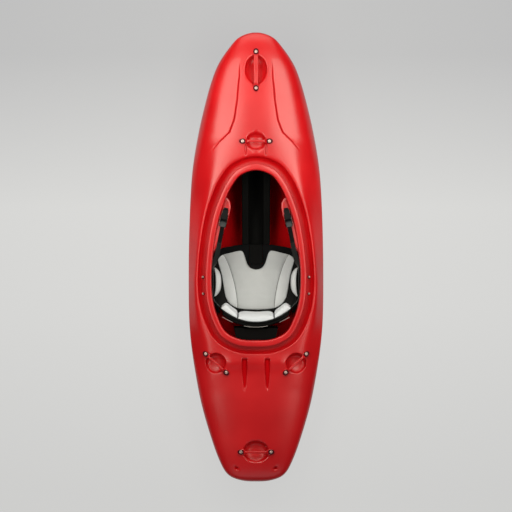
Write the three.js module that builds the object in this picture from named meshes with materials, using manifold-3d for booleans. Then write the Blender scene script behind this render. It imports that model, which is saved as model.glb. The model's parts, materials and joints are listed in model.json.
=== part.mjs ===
import * as THREE from "three";
import { mergeVertices } from "three/addons/utils/BufferGeometryUtils.js";
import Module from "manifold-3d";

const wasm = await Module();
wasm.setup();

// A whitewater kayak in millimetres: +X to the bow, +Y to port, +Z up, resting on its flat bottom.

// Driving dimensions
const gap = 0.3; // between pieces that touch
const overrun = 60; // how far a cut runs past what it cuts
const weld = 0.001; // points nearer than this are one

const hull = { length: 2215, beam: 665, depth: 338, wall: 6 };
const crease = { depth: 12 };
// The rim stands in from the hull's widest line. Its rear is below the deck's highest point,
// its front above.
const rim = {
  rearX: -430,
  length: 890,
  inset: 84.5,
  rearDrop: 68,
  frontRise: 14,
  sag: 12,
  width: 30,
  thickness: 9,
  edge: 3,
};
const moat = { depth: 49, floorWidth: 31, flare: 18 };
const hook = { behind: 77, length: 208, reach: 46, drop: 50, thickness: 8, lip: 20 };
const groove = { behindRim: 63, length: 160, halfWidth: 14, depth: 12, offset: 56 };
const dimple = { fromTip: 71.5, offset: 96, radius: 8, depth: 4 };

const handle = {
  footLength: 34,
  footWidth: 30,
  footHeight: 7,
  sink: 4,
  barHeight: 11,
  lift: 6,
};
// Each handle's span between screws, heading in degrees, bar width, and recess length, width, depth
const bowHandle = { fromTip: 190.5, span: 180, heading: 0, bar: 24, recess: [148, 106, 34] };
const frontHandle = { fromRim: 110, span: 130, heading: 90, bar: 15, recess: [96, 82, 34] };
const sideHandle = { fromRim: 83, inset: 51, span: 136, heading: 48, bar: 15, recess: [98, 98, 32] };
const sternHandle = { fromTip: 154.5, span: 149, heading: 90, bar: 14, recess: [124, 106, 32] };
const screw = { shank: 3.2, washer: 13.2, washerHeight: 1.8, head: 8.6, headHeight: 5, tail: 9 };

const seat = {
  frontX: 72,
  rearX: -262,
  inset: 4,
  low: 42,
  frontRise: 46,
  sideRise: 44,
  thickness: 5,
  edge: 3,
  rib: 9,
  ribOffset: 96,
  travel: 20,
};
const pad = { frontX: 44, rearX: -257, inset: 22, thickness: 15, rearPanel: 100, frontPanel: 27 };
const hip = {
  frontX: -44,
  rearX: -186,
  inset: 12,
  thickness: 36,
  foam: 11,
  bottom: 104,
  drop: 134,
};
const hanger = {
  frontX: -20,
  rearX: -225,
  plate: 4,
  bottom: 62,
  flange: 60,
  flangeHeight: 5,
  corner: 24,
  cornerRise: 40,
  play: 0.7,
};
const bolt = {
  frontX: -89,
  rearX: -171,
  fromRim: 13,
  shank: 4,
  head: 7.5,
  headHeight: 4.5,
  washer: 9.5,
  washerHeight: 1.5,
  nut: 8,
  nutHeight: 6,
  spotFace: 1.2,
};

const pillar = {
  frontX: 790,
  halfWidth: 70,
  channel: 37.5,
  channelHeight: 34,
  rearTop: 96,
  railDrop: 133,
  railX: 480,
};
const block = { rearX: -26, halfWidth: 33, top: 84, round: 9 };
const rail = { frontX: 780, rearX: 492, width: 16, height: 7, pitch: 24, notch: 5 };
const brace = {
  x: 655,
  travel: 80,
  beam: 22,
  beamHeight: 16,
  cheek: 6,
  cheekDepth: 90,
  halfWidth: 172,
  plateBottom: 96,
  plateDrop: 88,
  plate: 5,
  plateRib: 8,
  ribs: 4,
  foam: 18,
  play: 0.6,
};
const knob = { radius: 17, height: 15, lobes: 5, lobe: 2.4, stem: 5, stemLength: 10, stemSides: 8 };
const rearPillar = {
  behindBand: 42,
  length: 230,
  frontHalf: 108,
  rearHalf: 64,
  panelHalf: 55,
  panel: 4,
  sill: 24,
};

const band = {
  x: -298,
  bow: 62,
  inset: 42,
  drop: 152,
  halfHeight: 66,
  lean: 0.2,
  thickness: 5,
  padThickness: 24,
  padGap: 5,
  travel: 40,
};
const strap = { width: 22, thickness: 2.4, insets: [2.43161, 6.87652, 7.76781], drop: 102 };
const ratchet = {
  ahead: 173,
  inset: 25.4262,
  turn: 11,
  length: 66,
  width: 34,
  floor: 2.6,
  cheek: 3,
  cheekLength: 46,
  cheekHeight: 21,
  play: 0.5,
};
const tongue = { width: 21, thickness: 2.6, tooth: 1.5, pitch: 6, rear: -112, front: 62 };
const lever = { pivotX: 7, pivotZ: 15.5, hub: 5, length: 40, tip: 3.4, pawl: 9, thumb: 6 };
const release = { pivotX: -14, pivotZ: 13.5, hub: 4, nose: 10, tail: 18, tailRise: 6 };
const pin = { radius: 2, head: 1.2, play: 0.25 };

// Places along the hull, from the ends and the middle of the cockpit
const rimFrontX = rim.rearX + rim.length;
const rimMiddleX = (rim.rearX + rimFrontX) / 2;
const hookRearX = rimMiddleX + hook.behind;
const hookFrontX = hookRearX + hook.length;
const ratchetX = rimMiddleX + ratchet.ahead;
const grooveX = rim.rearX - groove.behindRim;
const dimpleX = dimple.fromTip - hull.length / 2;
const sideHandleX = rim.rearX - sideHandle.fromRim;
const pillarRearX = seat.frontX + 2 * gap;
const rearPillarX = band.x - rearPillar.behindBand;

// Half widths inside the cockpit, from the neck under the rim
const rimHalf = hull.beam / 2 - rim.inset;
const neckHalf = rimHalf - rim.width;
const boltY = rimHalf + bolt.fromRim;
const sideHandleY = rimHalf - sideHandle.inset;
const seatHalf = neckHalf - seat.inset;
const padHalf = seatHalf - pad.inset;
const hipOuter = neckHalf - hip.inset;
const bandHalf = neckHalf - band.inset;

// Heights, from the deck's highest point
const hookTop = hull.depth - hook.drop;
const hipTop = hull.depth - hip.drop;
const railTop = hull.depth - pillar.railDrop;
const plateTop = hull.depth - brace.plateDrop;
const bandMiddle = hull.depth - band.drop;
const strapHeight = hull.depth - strap.drop;

// Tables of shares along the hull
// [share of length, of half beam, then keel, seam and deck as shares of depth]
const stationShares = [
  [0, 0, 0.444, 0.444, 0.444],
  [0.0036, 0.24, 0.385, 0.448, 0.5],
  [0.0171, 0.426, 0.335, 0.45, 0.545],
  [0.05, 0.553, 0.265, 0.45, 0.582],
  [0.107, 0.688, 0.195, 0.448, 0.612],
  [0.179, 0.823, 0.117, 0.447, 0.642],
  [0.25, 0.911, 0.053, 0.447, 0.676],
  [0.322, 0.975, 0.011, 0.45, 0.722],
  [0.39, 1, 0, 0.457, 0.767],
  [0.5, 1, 0, 0.473, 0.837],
  [0.6, 0.982, 0, 0.497, 0.902],
  [0.68, 0.952, 0.024, 0.521, 0.959],
  [0.735, 0.907, 0.064, 0.545, 0.993],
  [0.79, 0.84, 0.117, 0.575, 0.999],
  [0.84, 0.761, 0.184, 0.609, 0.982],
  [0.89, 0.667, 0.277, 0.658, 0.955],
  [0.93, 0.56, 0.375, 0.707, 0.932],
  [0.965, 0.415, 0.486, 0.755, 0.905],
  [0.99, 0.262, 0.612, 0.789, 0.862],
  [1, 0, 0.793, 0.793, 0.793],
];
// [share of half beam, share of the rise from keel to seam]
const bottomShares = [
  [0, 0],
  [0.5, 0],
  [0.7, 0.04],
  [0.75, 0.11],
  [0.9, 0.55],
  [0.975, 0.85],
  [1, 1],
];
// Deck points, as shares of the way from the crease line to the edge
const outerDeckShares = [0.96, 0.85, 0.64, 0.34];
// Width of the crease's steep inner side, as a share of half beam
const creaseSideShare = 0.045;
// [share of length, where the crease runs as a share of half beam]
const creaseLineShares = [
  [0, 0.6],
  [0.7, 0.76],
  [0.74, 0.73],
  [0.757, 0.63],
  [0.778, 0.48],
  [0.805, 0.415],
  [0.85, 0.395],
  [0.9, 0.4],
  [0.93, 0.44],
  [1, 0.5],
];
// [share of length, share of the crease's full depth]
const creaseDepthShares = [
  [0, 0],
  [0.738, 0],
  [0.765, 0.7],
  [0.8, 1],
  [0.86, 0.9],
  [0.9, 0.5],
  [0.94, 0],
  [1, 0],
];
// [share of length, how square the deck's section is: 2 is an ellipse]
const fullnessShares = [
  [0, 2.8],
  [0.2, 3],
  [0.3, 3.8],
  [0.45, 4.6],
  [0.6, 4.2],
  [0.78, 2.7],
  [1, 2.4],
];
// [share of the rim's length from the rear, share of its half width]
const rimShares = [
  [0, 0],
  [0.01, 0.375],
  [0.057, 0.681],
  [0.146, 0.863],
  [0.246, 0.968],
  [0.38, 1],
  [0.538, 0.958],
  [0.696, 0.859],
  [0.827, 0.702],
  [0.907, 0.556],
  [0.967, 0.371],
  [1, 0],
];
// [share of the pad's half width, share of its length from the rear]
const padFrontShares = [
  [0, 0.671],
  [0.106, 0.691],
  [0.212, 0.761],
  [0.3, 0.884],
  [0.386, 1],
  [0.9, 0.917],
  [1, 0.827],
];
const padRearShares = [
  [0, 0],
  [0.456, 0.02],
  [0.6, 0.06],
  [0.77, 0.18],
  [0.85, 0.468],
  [0.9, 0.648],
  [1, 0.827],
];
// [share of the seat's length from the rear, rise of its top as a share of the front rise]
const seatRiseShares = [
  [0, 0.48],
  [0.08, 0.26],
  [0.16, 0.11],
  [0.24, 0.03],
  [0.32, 0],
  [0.52, 0],
  [0.62, 0.03],
  [0.72, 0.14],
  [0.82, 0.35],
  [0.92, 0.68],
  [1, 1],
];
// [share of the seat's half width, share of the rise at its sides]
const seatSideShares = [
  [0, 0],
  [0.4, 0.02],
  [0.66, 0.18],
  [0.85, 0.52],
  [0.96, 0.85],
  [1, 1],
];
// [share of the seat's length from the rear, share of its half width]
const seatPlanShares = [
  [0, 0.7],
  [0.06, 0.86],
  [0.2, 0.97],
  [0.5, 1],
  [0.82, 1],
  [0.9, 0.97],
  [0.955, 0.76],
  [0.985, 0.5],
  [1, 0.3],
];

// [share of the seat's length where its ribs run]
const ribShares = [0.14, 0.3, 0.55, 0.8];
// How much of a cushion's outline its base keeps, and how much of its thickness its edge keeps
const cushionBaseShare = 0.94;
const cushionEdgeShare = 0.35;
// Rows of a cushion, from its middle out, as shares of its half width or half length
const padColumnShares = [0.06, 0.12, 0.175, 0.225, 0.32, 0.43, 0.5, 0.57, 0.7, 0.84, 0.94, 1];
const padRowShares = [-1, -0.93, -0.72, -0.35, 0.1, 0.5, 0.8, 0.95, 1];
const padSeamShare = 0.5;
const padChannelShare = 0.45;
const hipColumnShares = [-1, -0.9, -0.65, -0.33, 0, 0.33, 0.65, 0.9, 1];
const hipRowShares = [-1, -0.9, -0.6, 0, 0.6, 0.9, 1];
const hipDroopShare = 0.06;
const hipFadeShare = 0.35;
const footRowShares = [-1, -0.92, -0.5, 0, 0.5, 0.92, 1];
const bandColumnShares = [-1, -0.93, -0.7, -0.35, 0, 0.35, 0.7, 0.93, 1];
const bandRowShares = [-1, -0.92, -0.6, 0, 0.6, 0.92, 1];
// Heights of the backband's end and of its pads, as shares of its own
const bandEndShare = 0.42;
const bandPadShares = { centre: 0.86, near: 0.8, far: 0.42, droop: 0.08 };
// The strap: where it leaves the backband, dips ahead of the hip pad, and turns flat
const strapShares = { leave: 0.7, rise: 0.85, dip: 0.35, turnFrom: 0.62, turnOver: 0.3 };
const toothShares = { foot: 0.98, tip: 0.8 };
const screwTaperShare = 0.7;
const pinHeadShare = 1.7;
const handleEndShare = 2 / 3;
// Where the hull's hollow ends, in stations from each tip
const hollowEndShares = { rear: 1.6, front: 1.4 };
// How closely a place along a curve is found
const searchShare = 1e-4;

const handlePlaces = {
  bow_handle: { ...bowHandle, x: hull.length / 2 - bowHandle.fromTip, y: 0 },
  front_deck_handle: { ...frontHandle, x: rimFrontX + frontHandle.fromRim, y: 0 },
  side_handle_left: { ...sideHandle, x: sideHandleX, y: sideHandleY },
  side_handle_right: { ...sideHandle, x: sideHandleX, y: -sideHandleY, heading: -sideHandle.heading },
  stern_handle: { ...sternHandle, x: sternHandle.fromTip - hull.length / 2, y: 0 },
};

const finish = {
  polyethylene: { color: 0xe0302c, roughness: 0.42, metalness: 0 },
  blackPlastic: { color: 0x17181a, roughness: 0.55, metalness: 0 },
  blackFoam: { color: 0x1d1e20, roughness: 0.92, metalness: 0 },
  greyFabric: { color: 0xc9c8c4, roughness: 0.95, metalness: 0 },
  whiteFabric: { color: 0xe4e4e2, roughness: 0.95, metalness: 0 },
  steel: { color: 0xb9bcc0, roughness: 0.3, metalness: 1 },
  greyPlastic: { color: 0x8d9296, roughness: 0.5, metalness: 0 },
};

const X = new THREE.Vector3(1, 0, 0);
const Z = new THREE.Vector3(0, 0, 1);
const kayak = new THREE.Group();

// Solids: closed surfaces that can be joined and cut

function solid(geometry) {
  const bare = new THREE.BufferGeometry();
  bare.setAttribute("position", geometry.getAttribute("position"));
  bare.setIndex(geometry.getIndex());
  const merged = mergeVertices(bare, weld);
  const corners = merged.getIndex().array;
  const kept = [];
  for (let i = 0; i < corners.length; i += 3) {
    const [a, b, c] = corners.slice(i, i + 3);
    if (a !== b && b !== c && c !== a) kept.push(a, b, c);
  }
  const build = (triangles) =>
    new wasm.Manifold(
      new wasm.Mesh({
        numProp: 3,
        vertProperties: merged.getAttribute("position").array,
        triVerts: new Uint32Array(triangles),
      }),
    );
  const made = build(kept);
  return made.volume() < 0 ? build(kept.reverse()) : made;
}

function geometryOf(body) {
  const mesh = body.getMesh();
  const geometry = new THREE.BufferGeometry();
  const points = new Float32Array(mesh.numVert * 3);
  for (let i = 0; i < mesh.numVert; i += 1) {
    points.set(mesh.vertProperties.subarray(i * mesh.numProp, i * mesh.numProp + 3), i * 3);
  }
  geometry.setAttribute("position", new THREE.BufferAttribute(points, 3));
  geometry.setIndex(new THREE.BufferAttribute(new Uint32Array(mesh.triVerts), 1));
  return geometry;
}

const join = (bodies) => bodies.reduce((whole, body) => whole.add(body));
const shifted = (body, x, y, z) => solid(geometryOf(body).translate(x, y, z));
const mirrored = (body) => solid(geometryOf(body).scale(1, -1, 1));

function addMesh(name, body, look, group = kayak) {
  const geometry = body.isBufferGeometry ? body : geometryOf(body);
  const faces = geometry.toNonIndexed();
  faces.computeVertexNormals();
  const material = new THREE.MeshStandardMaterial(look);
  const mesh = new THREE.Mesh(faces, material);
  mesh.name = name;
  group.add(mesh);
  return mesh;
}

// A closed surface through rings of points. Its ends meet in a loop, or are capped by a fan, or by a
// ladder between the two sides of a flat ring, whose points run out along one side and back along the other.
function skin(rings, ends = "fan") {
  const count = rings[0].length;
  const points = rings.flat();
  const faces = [];
  const bays = ends === "loop" ? rings.length : rings.length - 1;
  for (let i = 0; i < bays; i += 1) {
    const here = i * count;
    const there = ((i + 1) % rings.length) * count;
    for (let j = 0; j < count; j += 1) {
      const k = (j + 1) % count;
      faces.push(here + j, here + k, there + k, here + j, there + k, there + j);
    }
  }
  const caps = ends === "loop" ? [] : [0, rings.length - 1];
  for (const cap of caps) {
    const start = cap * count;
    const add = (a, b, c) => faces.push(...(cap === 0 ? [b, a, c] : [a, b, c]));
    if (ends === "ladder") {
      for (let j = 0; j + 1 < count / 2; j += 1) {
        const [a, b, c, d] = [j, j + 1, count - j - 2, count - j - 1].map((corner) => start + corner);
        add(a, b, c);
        add(a, c, d);
      }
      continue;
    }
    const middle = points.length;
    points.push(rings[cap].reduce((sum, p) => sum.add(p), new THREE.Vector3()).divideScalar(count));
    for (let j = 0; j < count; j += 1) add(start + j, start + ((j + 1) % count), middle);
  }
  return surface(points, faces);
}

// A closed surface through stacked loops that start on the centreline and mirror across it.
function stack(loops) {
  const count = loops[0].length;
  const points = loops.flat();
  const faces = [];
  for (let k = 0; k + 1 < loops.length; k += 1) {
    for (let i = 0; i < count; i += 1) {
      const [a, b] = [k * count + i, k * count + ((i + 1) % count)];
      faces.push(a, b, b + count, a, b + count, a + count);
    }
  }
  const top = (loops.length - 1) * count;
  for (let i = 0; i < count / 2; i += 1) {
    const [a, b, c, d] = [i, i + 1, count - i - 1, (count - i) % count];
    faces.push(a, c, b, a, d, c);
    faces.push(top + a, top + b, top + c, top + a, top + c, top + d);
  }
  return surface(points, faces);
}

function surface(points, faces) {
  const geometry = new THREE.BufferGeometry().setFromPoints(points);
  geometry.setIndex(faces);
  return geometry;
}

// A slab cut from an outline in plan or profile, with its walls along Z.
function slab(outline, depth, bevel = 0) {
  const shape = new THREE.Shape(outline.map(([x, y]) => new THREE.Vector2(x, y)));
  const geometry = new THREE.ExtrudeGeometry(shape, {
    depth: depth - 2 * bevel,
    bevelEnabled: bevel > 0,
    bevelThickness: bevel,
    bevelSize: bevel,
    bevelOffset: -bevel,
    bevelSegments: 1,
  });
  return geometry.translate(0, 0, bevel);
}

// The same slab stood up: its outline is in X and Z, and its depth runs along Y from near to far.
function standing(outline, near, far, bevel = 0) {
  return slab(outline, far - near, bevel).rotateX(Math.PI / 2).translate(0, far, 0);
}

function box(lowX, highX, lowY, highY, lowZ, highZ) {
  const geometry = new THREE.BoxGeometry(highX - lowX, highY - lowY, highZ - lowZ);
  return geometry.translate((lowX + highX) / 2, (lowY + highY) / 2, (lowZ + highZ) / 2);
}

// A turned piece about Z, from [radius, height] points that start and end on the axis.
function turned(profile, sides) {
  return new THREE.LatheGeometry(
    profile.map(([r, z]) => new THREE.Vector2(r, z)),
    sides,
  ).rotateX(Math.PI / 2);
}

function rod(radius, low, high, sides) {
  return turned([[0, low], [radius, low], [radius, high], [0, high]], sides);
}

const smooth = (u) => THREE.MathUtils.smoothstep(u, 0, 1);
const mix = THREE.MathUtils.lerp;

function lookup(table, at) {
  const last = table.length - 1;
  const i = Math.min(Math.max(table.findIndex(([key]) => key > at) - 1, 0), last - 1);
  const from = at >= table[last][0] ? last - 1 : i;
  const [[low, start], [high, end]] = [table[from], table[from + 1]];
  return mix(start, end, THREE.MathUtils.clamp((at - low) / (high - low), 0, 1));
}

// Hull form

// Past each tip the keel and deck change places, which rounds the tip.
const beyond = ([length, beam, keel, seam, deck]) => [length, -beam, deck, seam, keel];
const stations = [
  beyond(stationShares[1]),
  ...stationShares,
  beyond(stationShares[stationShares.length - 2]),
];
const spans = stationShares.length - 1;

function stationAt(t) {
  const i = Math.min(Math.floor(t), spans - 1);
  const u = t - i;
  const [length, beam, keel, seam, deck] = stations[i].map((a, column) => {
    const [b, c, d] = [1, 2, 3].map((step) => stations[i + step][column]);
    const slope = (c - a) / 2;
    const nextSlope = (d - b) / 2;
    const bend = 3 * (c - b) - 2 * slope - nextSlope;
    const twist = 2 * (b - c) + slope + nextSlope;
    return b + slope * u + bend * u * u + twist * u * u * u;
  });
  return {
    share: length,
    x: hull.length * (length - 1 / 2),
    half: (hull.beam / 2) * beam,
    keel: hull.depth * Math.max(keel, 0),
    seam: hull.depth * seam,
    deck: hull.depth * deck,
  };
}

function stationAtX(x) {
  let [low, high] = [0, spans];
  while (high - low > searchShare) {
    const middle = (low + high) / 2;
    if (stationAt(middle).x < x) low = middle;
    else high = middle;
  }
  return stationAt((low + high) / 2);
}

// Height of the deck where v is the distance from the centreline as a share of half beam.
function deckHeight(station, v) {
  const fullness = lookup(fullnessShares, station.share);
  const line = lookup(creaseLineShares, station.share);
  const inner = smooth((v - line + creaseSideShare) / creaseSideShare);
  const outer = 1 - smooth((v - line) / (1 - line));
  const drop = crease.depth * lookup(creaseDepthShares, station.share) * inner * outer;
  const crown = (1 - Math.min(v, 1) ** fullness) ** (1 / fullness);
  return station.seam + (station.deck - station.seam) * crown - drop;
}

function deckAt(x, y) {
  const station = stationAtX(x);
  return deckHeight(station, Math.abs(y) / station.half);
}

// One section of the hull, set in from its surface, as a ring of points.
function section(t, inset) {
  const station = stationAt(t);
  const half = Math.max(station.half - inset, 0);
  const set = {
    ...station,
    keel: station.keel + inset,
    deck: station.deck - inset,
  };
  const line = lookup(creaseLineShares, station.share);
  const deckPlaces = [
    ...outerDeckShares.map((share) => mix(line, 1, share)),
    line,
    line - creaseSideShare,
    line / 2,
    0,
  ];
  const side = [
    ...bottomShares.map(([across, rise]) => [half * across, mix(set.keel, set.seam, rise)]),
    ...deckPlaces.map((v) => [half * v, deckHeight(set, v)]),
  ];
  const port = side.map(([y, z]) => new THREE.Vector3(station.x, y, z));
  const starboard = side.slice(1, -1).reverse().map(([y, z]) => new THREE.Vector3(station.x, -y, z));
  return [...port, ...starboard];
}

function hullForm(inset, first, last, steps) {
  const rings = [];
  for (let i = 0; i <= steps; i += 1) {
    rings.push(section(mix(first, last, i / steps), inset));
  }
  return solid(skin(rings));
}

// Cockpit rim and the groove round it

const rimSteps = 44;
const rimCurve = new THREE.CatmullRomCurve3(
  [
    ...rimShares,
    ...rimShares.slice(1, -1).reverse().map(([along, out]) => [along, -out]),
  ].map(([along, out]) => new THREE.Vector3(rim.rearX + rim.length * along, rimHalf * out, 0)),
  true,
  "centripetal",
);
const rimPlaces = [];
for (let i = 0; i < rimSteps; i += 1) {
  const mirror = i > rimSteps / 2 ? -1 : 1;
  const share = (mirror > 0 ? i : rimSteps - i) / rimSteps;
  const point = rimCurve.getPointAt(share);
  const along = rimCurve.getTangentAt(share);
  const onCentre = i % (rimSteps / 2) === 0;
  point.y = onCentre ? 0 : point.y * mirror;
  const outward = onCentre
    ? new THREE.Vector3(i === 0 ? -1 : 1, 0, 0)
    : new THREE.Vector3(-along.y, along.x * mirror, 0).normalize();
  rimPlaces.push({ point, outward });
}

function rimTop(x) {
  const share = (x - rim.rearX) / rim.length;
  const dip = 4 * rim.sag * share * (1 - share);
  return hull.depth + mix(-rim.rearDrop, rim.frontRise, share) - dip;
}

function rimPoint({ point, outward }, out, up) {
  const placed = point.clone().addScaledVector(outward, out);
  placed.z = rimTop(point.x) + up;
  return placed;
}

const rimLoop = (out, up) => rimPlaces.map((place) => rimPoint(place, out, up));

function rimRing() {
  const { width, thickness, edge } = rim;
  const foot = -moat.depth - hull.wall / 2;
  const profile = [
    [0, -thickness + edge],
    [0, -edge],
    [-edge, 0],
    [-width + edge, 0],
    [-width, -edge],
    [-width, foot],
    [-width + hull.wall, foot],
    [-width + hull.wall, -thickness - edge],
    [-width + hull.wall + edge, -thickness],
    [-edge, -thickness],
  ];
  return solid(skin(rimPlaces.map((place) => profile.map(([out, up]) => rimPoint(place, out, up))), "loop"));
}

function moatCut(grow) {
  return solid(
    stack([
      rimLoop(moat.floorWidth + grow, -moat.depth - grow),
      rimLoop(moat.floorWidth + moat.flare + grow, overrun / 2),
    ]),
  );
}

function openingCut() {
  return solid(stack([rimLoop(-rim.width, -moat.depth - hull.wall - overrun), rimLoop(-rim.width, overrun)]));
}

// The inner face of the neck under the rim, on the port side
const neckCurve = new THREE.CatmullRomCurve3(
  rimPlaces.filter(({ point }) => point.y > 0).map((place) => rimPoint(place, -rim.width, 0)),
  false,
  "centripetal",
);

function neckAt(x) {
  let [low, high] = [0, 1];
  while (high - low > searchShare) {
    const middle = (low + high) / 2;
    if (neckCurve.getPoint(middle).x < x) low = middle;
    else high = middle;
  }
  return neckCurve.getPoint((low + high) / 2).y;
}

const ratchetY = neckAt(ratchetX) - ratchet.inset;

// A hook that reaches in from the rim over the thigh, with a lip turned down at its edge.
function thighHook() {
  const steps = 10;
  const reachAt = (x) => {
    const share = (x - hookRearX) / hook.length;
    return hook.reach * Math.sin(Math.PI * share) ** (3 / 4);
  };
  const rings = [];
  for (let i = 0; i <= steps; i += 1) {
    const x = mix(hookRearX, hookFrontX, i / steps);
    const neck = neckAt(x);
    const reach = i === 0 || i === steps ? 0 : reachAt(x);
    const { thickness, lip } = hook;
    const drop = (lip * reach) / hook.reach;
    const inner = neck - reach;
    const outer = neck + hull.wall / 2;
    rings.push(
      [
        [outer, hookTop],
        [inner + thickness / 2, hookTop],
        [inner, hookTop - thickness / 2],
        [inner, hookTop - thickness - drop],
        [Math.min(inner + thickness, outer - hull.wall / 4), hookTop - thickness - drop],
        [Math.min(inner + thickness, outer - hull.wall / 4), hookTop - thickness],
        [outer, hookTop - thickness],
      ].map(([y, z]) => new THREE.Vector3(x, y, z)),
    );
  }
  return solid(skin(rings));
}

// Recesses in the deck

// The frame of a handle: origin between its screws on the deck, X along the handle, Z off the deck.
function handleFrame({ x, y, span, heading }) {
  const angle = THREE.MathUtils.degToRad(heading);
  const along = new THREE.Vector3(Math.cos(angle), Math.sin(angle), 0);
  const feet = [-1, 1].map((end) => {
    const foot = new THREE.Vector3(x, y, 0).addScaledVector(along, (end * span) / 2);
    foot.z = deckAt(foot.x, foot.y);
    return foot;
  });
  const line = feet[1].clone().sub(feet[0]).normalize();
  const across = Z.clone().cross(line).normalize();
  const frame = new THREE.Matrix4().makeBasis(line, across, line.clone().cross(across));
  return frame.setPosition(feet[0].clone().add(feet[1]).divideScalar(2));
}

// A bowl with its walls carried straight up above the deck.
function recessCut(place, grow) {
  const [length, width, depth] = place.recess;
  const rows = grow > 0 ? 3 : 4;
  const profile = [];
  for (let i = 0; i <= rows; i += 1) {
    const angle = (Math.PI * i) / (2 * rows);
    profile.push([Math.sin(angle), -Math.cos(angle)]);
  }
  const bowl = turned([...profile, [1, 1], [0, 1]], grow > 0 ? 10 : 16);
  bowl.scale(length / 2 + grow, width / 2 + grow, depth + grow);
  return solid(bowl.applyMatrix4(handleFrame(place)));
}

function grooveCut(side, grow) {
  const ends = [grooveX, grooveX - groove.length].map(
    (x) => new THREE.Vector3(x, side * groove.offset, deckAt(x, side * groove.offset)),
  );
  const cone = new THREE.ConeGeometry(groove.halfWidth + grow, groove.length + 2 * grow, 10);
  cone.scale(1, 1, (groove.depth + grow) / (groove.halfWidth + grow));
  cone.rotateZ(Math.PI / 2);
  const toPoint = ends[1].clone().sub(ends[0]).normalize();
  const turn = new THREE.Quaternion().setFromUnitVectors(X.clone().negate(), toPoint);
  cone.applyQuaternion(turn);
  const middle = ends[0].clone().add(ends[1]).divideScalar(2);
  return solid(cone.translate(middle.x, middle.y, middle.z));
}

function dimpleCut(side) {
  const ball = new THREE.SphereGeometry(dimple.radius, 8, 4).rotateX(Math.PI / 2);
  ball.scale(1, 1, dimple.depth / dimple.radius);
  return solid(ball.translate(dimpleX, side * dimple.offset, deckAt(dimpleX, side * dimple.offset)));
}

const deckCuts = (grow) => [
  moatCut(grow),
  ...Object.values(handlePlaces).map((place) => recessCut(place, grow)),
  ...[-1, 1].map((side) => grooveCut(side, grow)),
];

// Outer body of the hull, and the hollow inside it, each grown or drawn in by a clearance
const bodyOf = (clear) => hullForm(-clear, 0, spans, 2 * spans).subtract(join(deckCuts(-clear)));
const hollowOf = (clear) =>
  hullForm(hull.wall + clear, hollowEndShares.rear, spans - hollowEndShares.front, 22).subtract(
    join(deckCuts(hull.wall + clear)),
  );
// What stands on the deck is cut by the first, and what stands in the hull stays in the second
const overBody = bodyOf(gap);
const inHollow = hollowOf(gap);

function screwPlaces() {
  return Object.entries(handlePlaces).flatMap(([name, place]) =>
    [-1, 1].map((end, i) => ({
      name: `${name}_screw_${i + 1}`,
      frame: handleFrame(place).multiply(
        new THREE.Matrix4().makeTranslation((end * place.span) / 2, 0, 0),
      ),
    })),
  );
}

const boltPlaces = [-1, 1].flatMap((side) =>
  [bolt.rearX, bolt.frontX].map((x, i) => ({
    name: `seat_bolt_${side > 0 ? "left" : "right"}_${i + 1}`,
    x,
    y: side * boltY,
    z: rimTop(x) - moat.depth - bolt.spotFace,
  })),
);

function hullShell() {
  const holes = [
    ...screwPlaces().map(({ frame }) =>
      solid(rod(screw.shank + gap, -hull.wall * 3, hull.wall, 8).applyMatrix4(frame)),
    ),
    ...boltPlaces.map(({ x, y, z }) =>
      solid(rod(bolt.shank + gap, -hull.wall * 2, hull.wall * 2, 8).translate(x, y, z)),
    ),
    ...boltPlaces.map(({ x, y, z }) =>
      solid(rod(bolt.washer + 2 * gap, 0, hull.wall * 2, 10).translate(x, y, z)),
    ),
  ];
  return bodyOf(0)
    .subtract(join([-1, 1].map(dimpleCut)))
    .subtract(hollowOf(0))
    .subtract(openingCut())
    .add(rimRing())
    .add(thighHook())
    .add(mirrored(thighHook()))
    .subtract(join(holes));
}

// Handles and their screws

function handleBar(place) {
  const { footLength, footWidth, footHeight, sink, barHeight, lift } = handle;
  const reach = place.span / 2 + footLength / 2;
  const steps = 12;
  const rings = [];
  for (let i = 0; i <= steps; i += 1) {
    const x = mix(-reach, reach, i / steps);
    const inBar = smooth((place.span / 2 - footLength / 2 - Math.abs(x)) / footLength);
    const end = smooth((reach - Math.abs(x)) / (footLength / 4));
    const half = (mix(footWidth, place.bar, inBar) * mix(handleEndShare, 1, end)) / 2;
    const low = mix(-sink, lift, inBar);
    const high = mix(footHeight, lift + barHeight, inBar);
    const edge = Math.min(half, (high - low) / 2) / 2;
    rings.push(
      [
        [half, low + edge],
        [half, high - edge],
        [half - edge, high],
        [edge - half, high],
        [-half, high - edge],
        [-half, low + edge],
        [edge - half, low],
        [half - edge, low],
      ].map(([y, z]) => new THREE.Vector3(x, y, z)),
    );
  }
  const holes = [-1, 1].map((end) =>
    solid(rod(screw.shank + gap, -overrun, overrun, 8).translate((end * place.span) / 2, 0, 0)),
  );
  const bar = solid(skin(rings)).subtract(join(holes));
  return solid(geometryOf(bar).applyMatrix4(handleFrame(place))).subtract(overBody);
}

function handleScrew() {
  const { shank, washer, washerHeight, head, headHeight, tail } = screw;
  const seatZ = handle.footHeight + gap;
  return turned(
    [
      [0, -hull.wall - tail],
      [shank, -hull.wall - tail],
      [shank, seatZ],
      [washer, seatZ],
      [washer, seatZ + washerHeight],
      [head, seatZ + washerHeight],
      [head * screwTaperShare, seatZ + washerHeight + headHeight],
      [0, seatZ + washerHeight + headHeight],
    ],
    8,
  );
}

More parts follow.
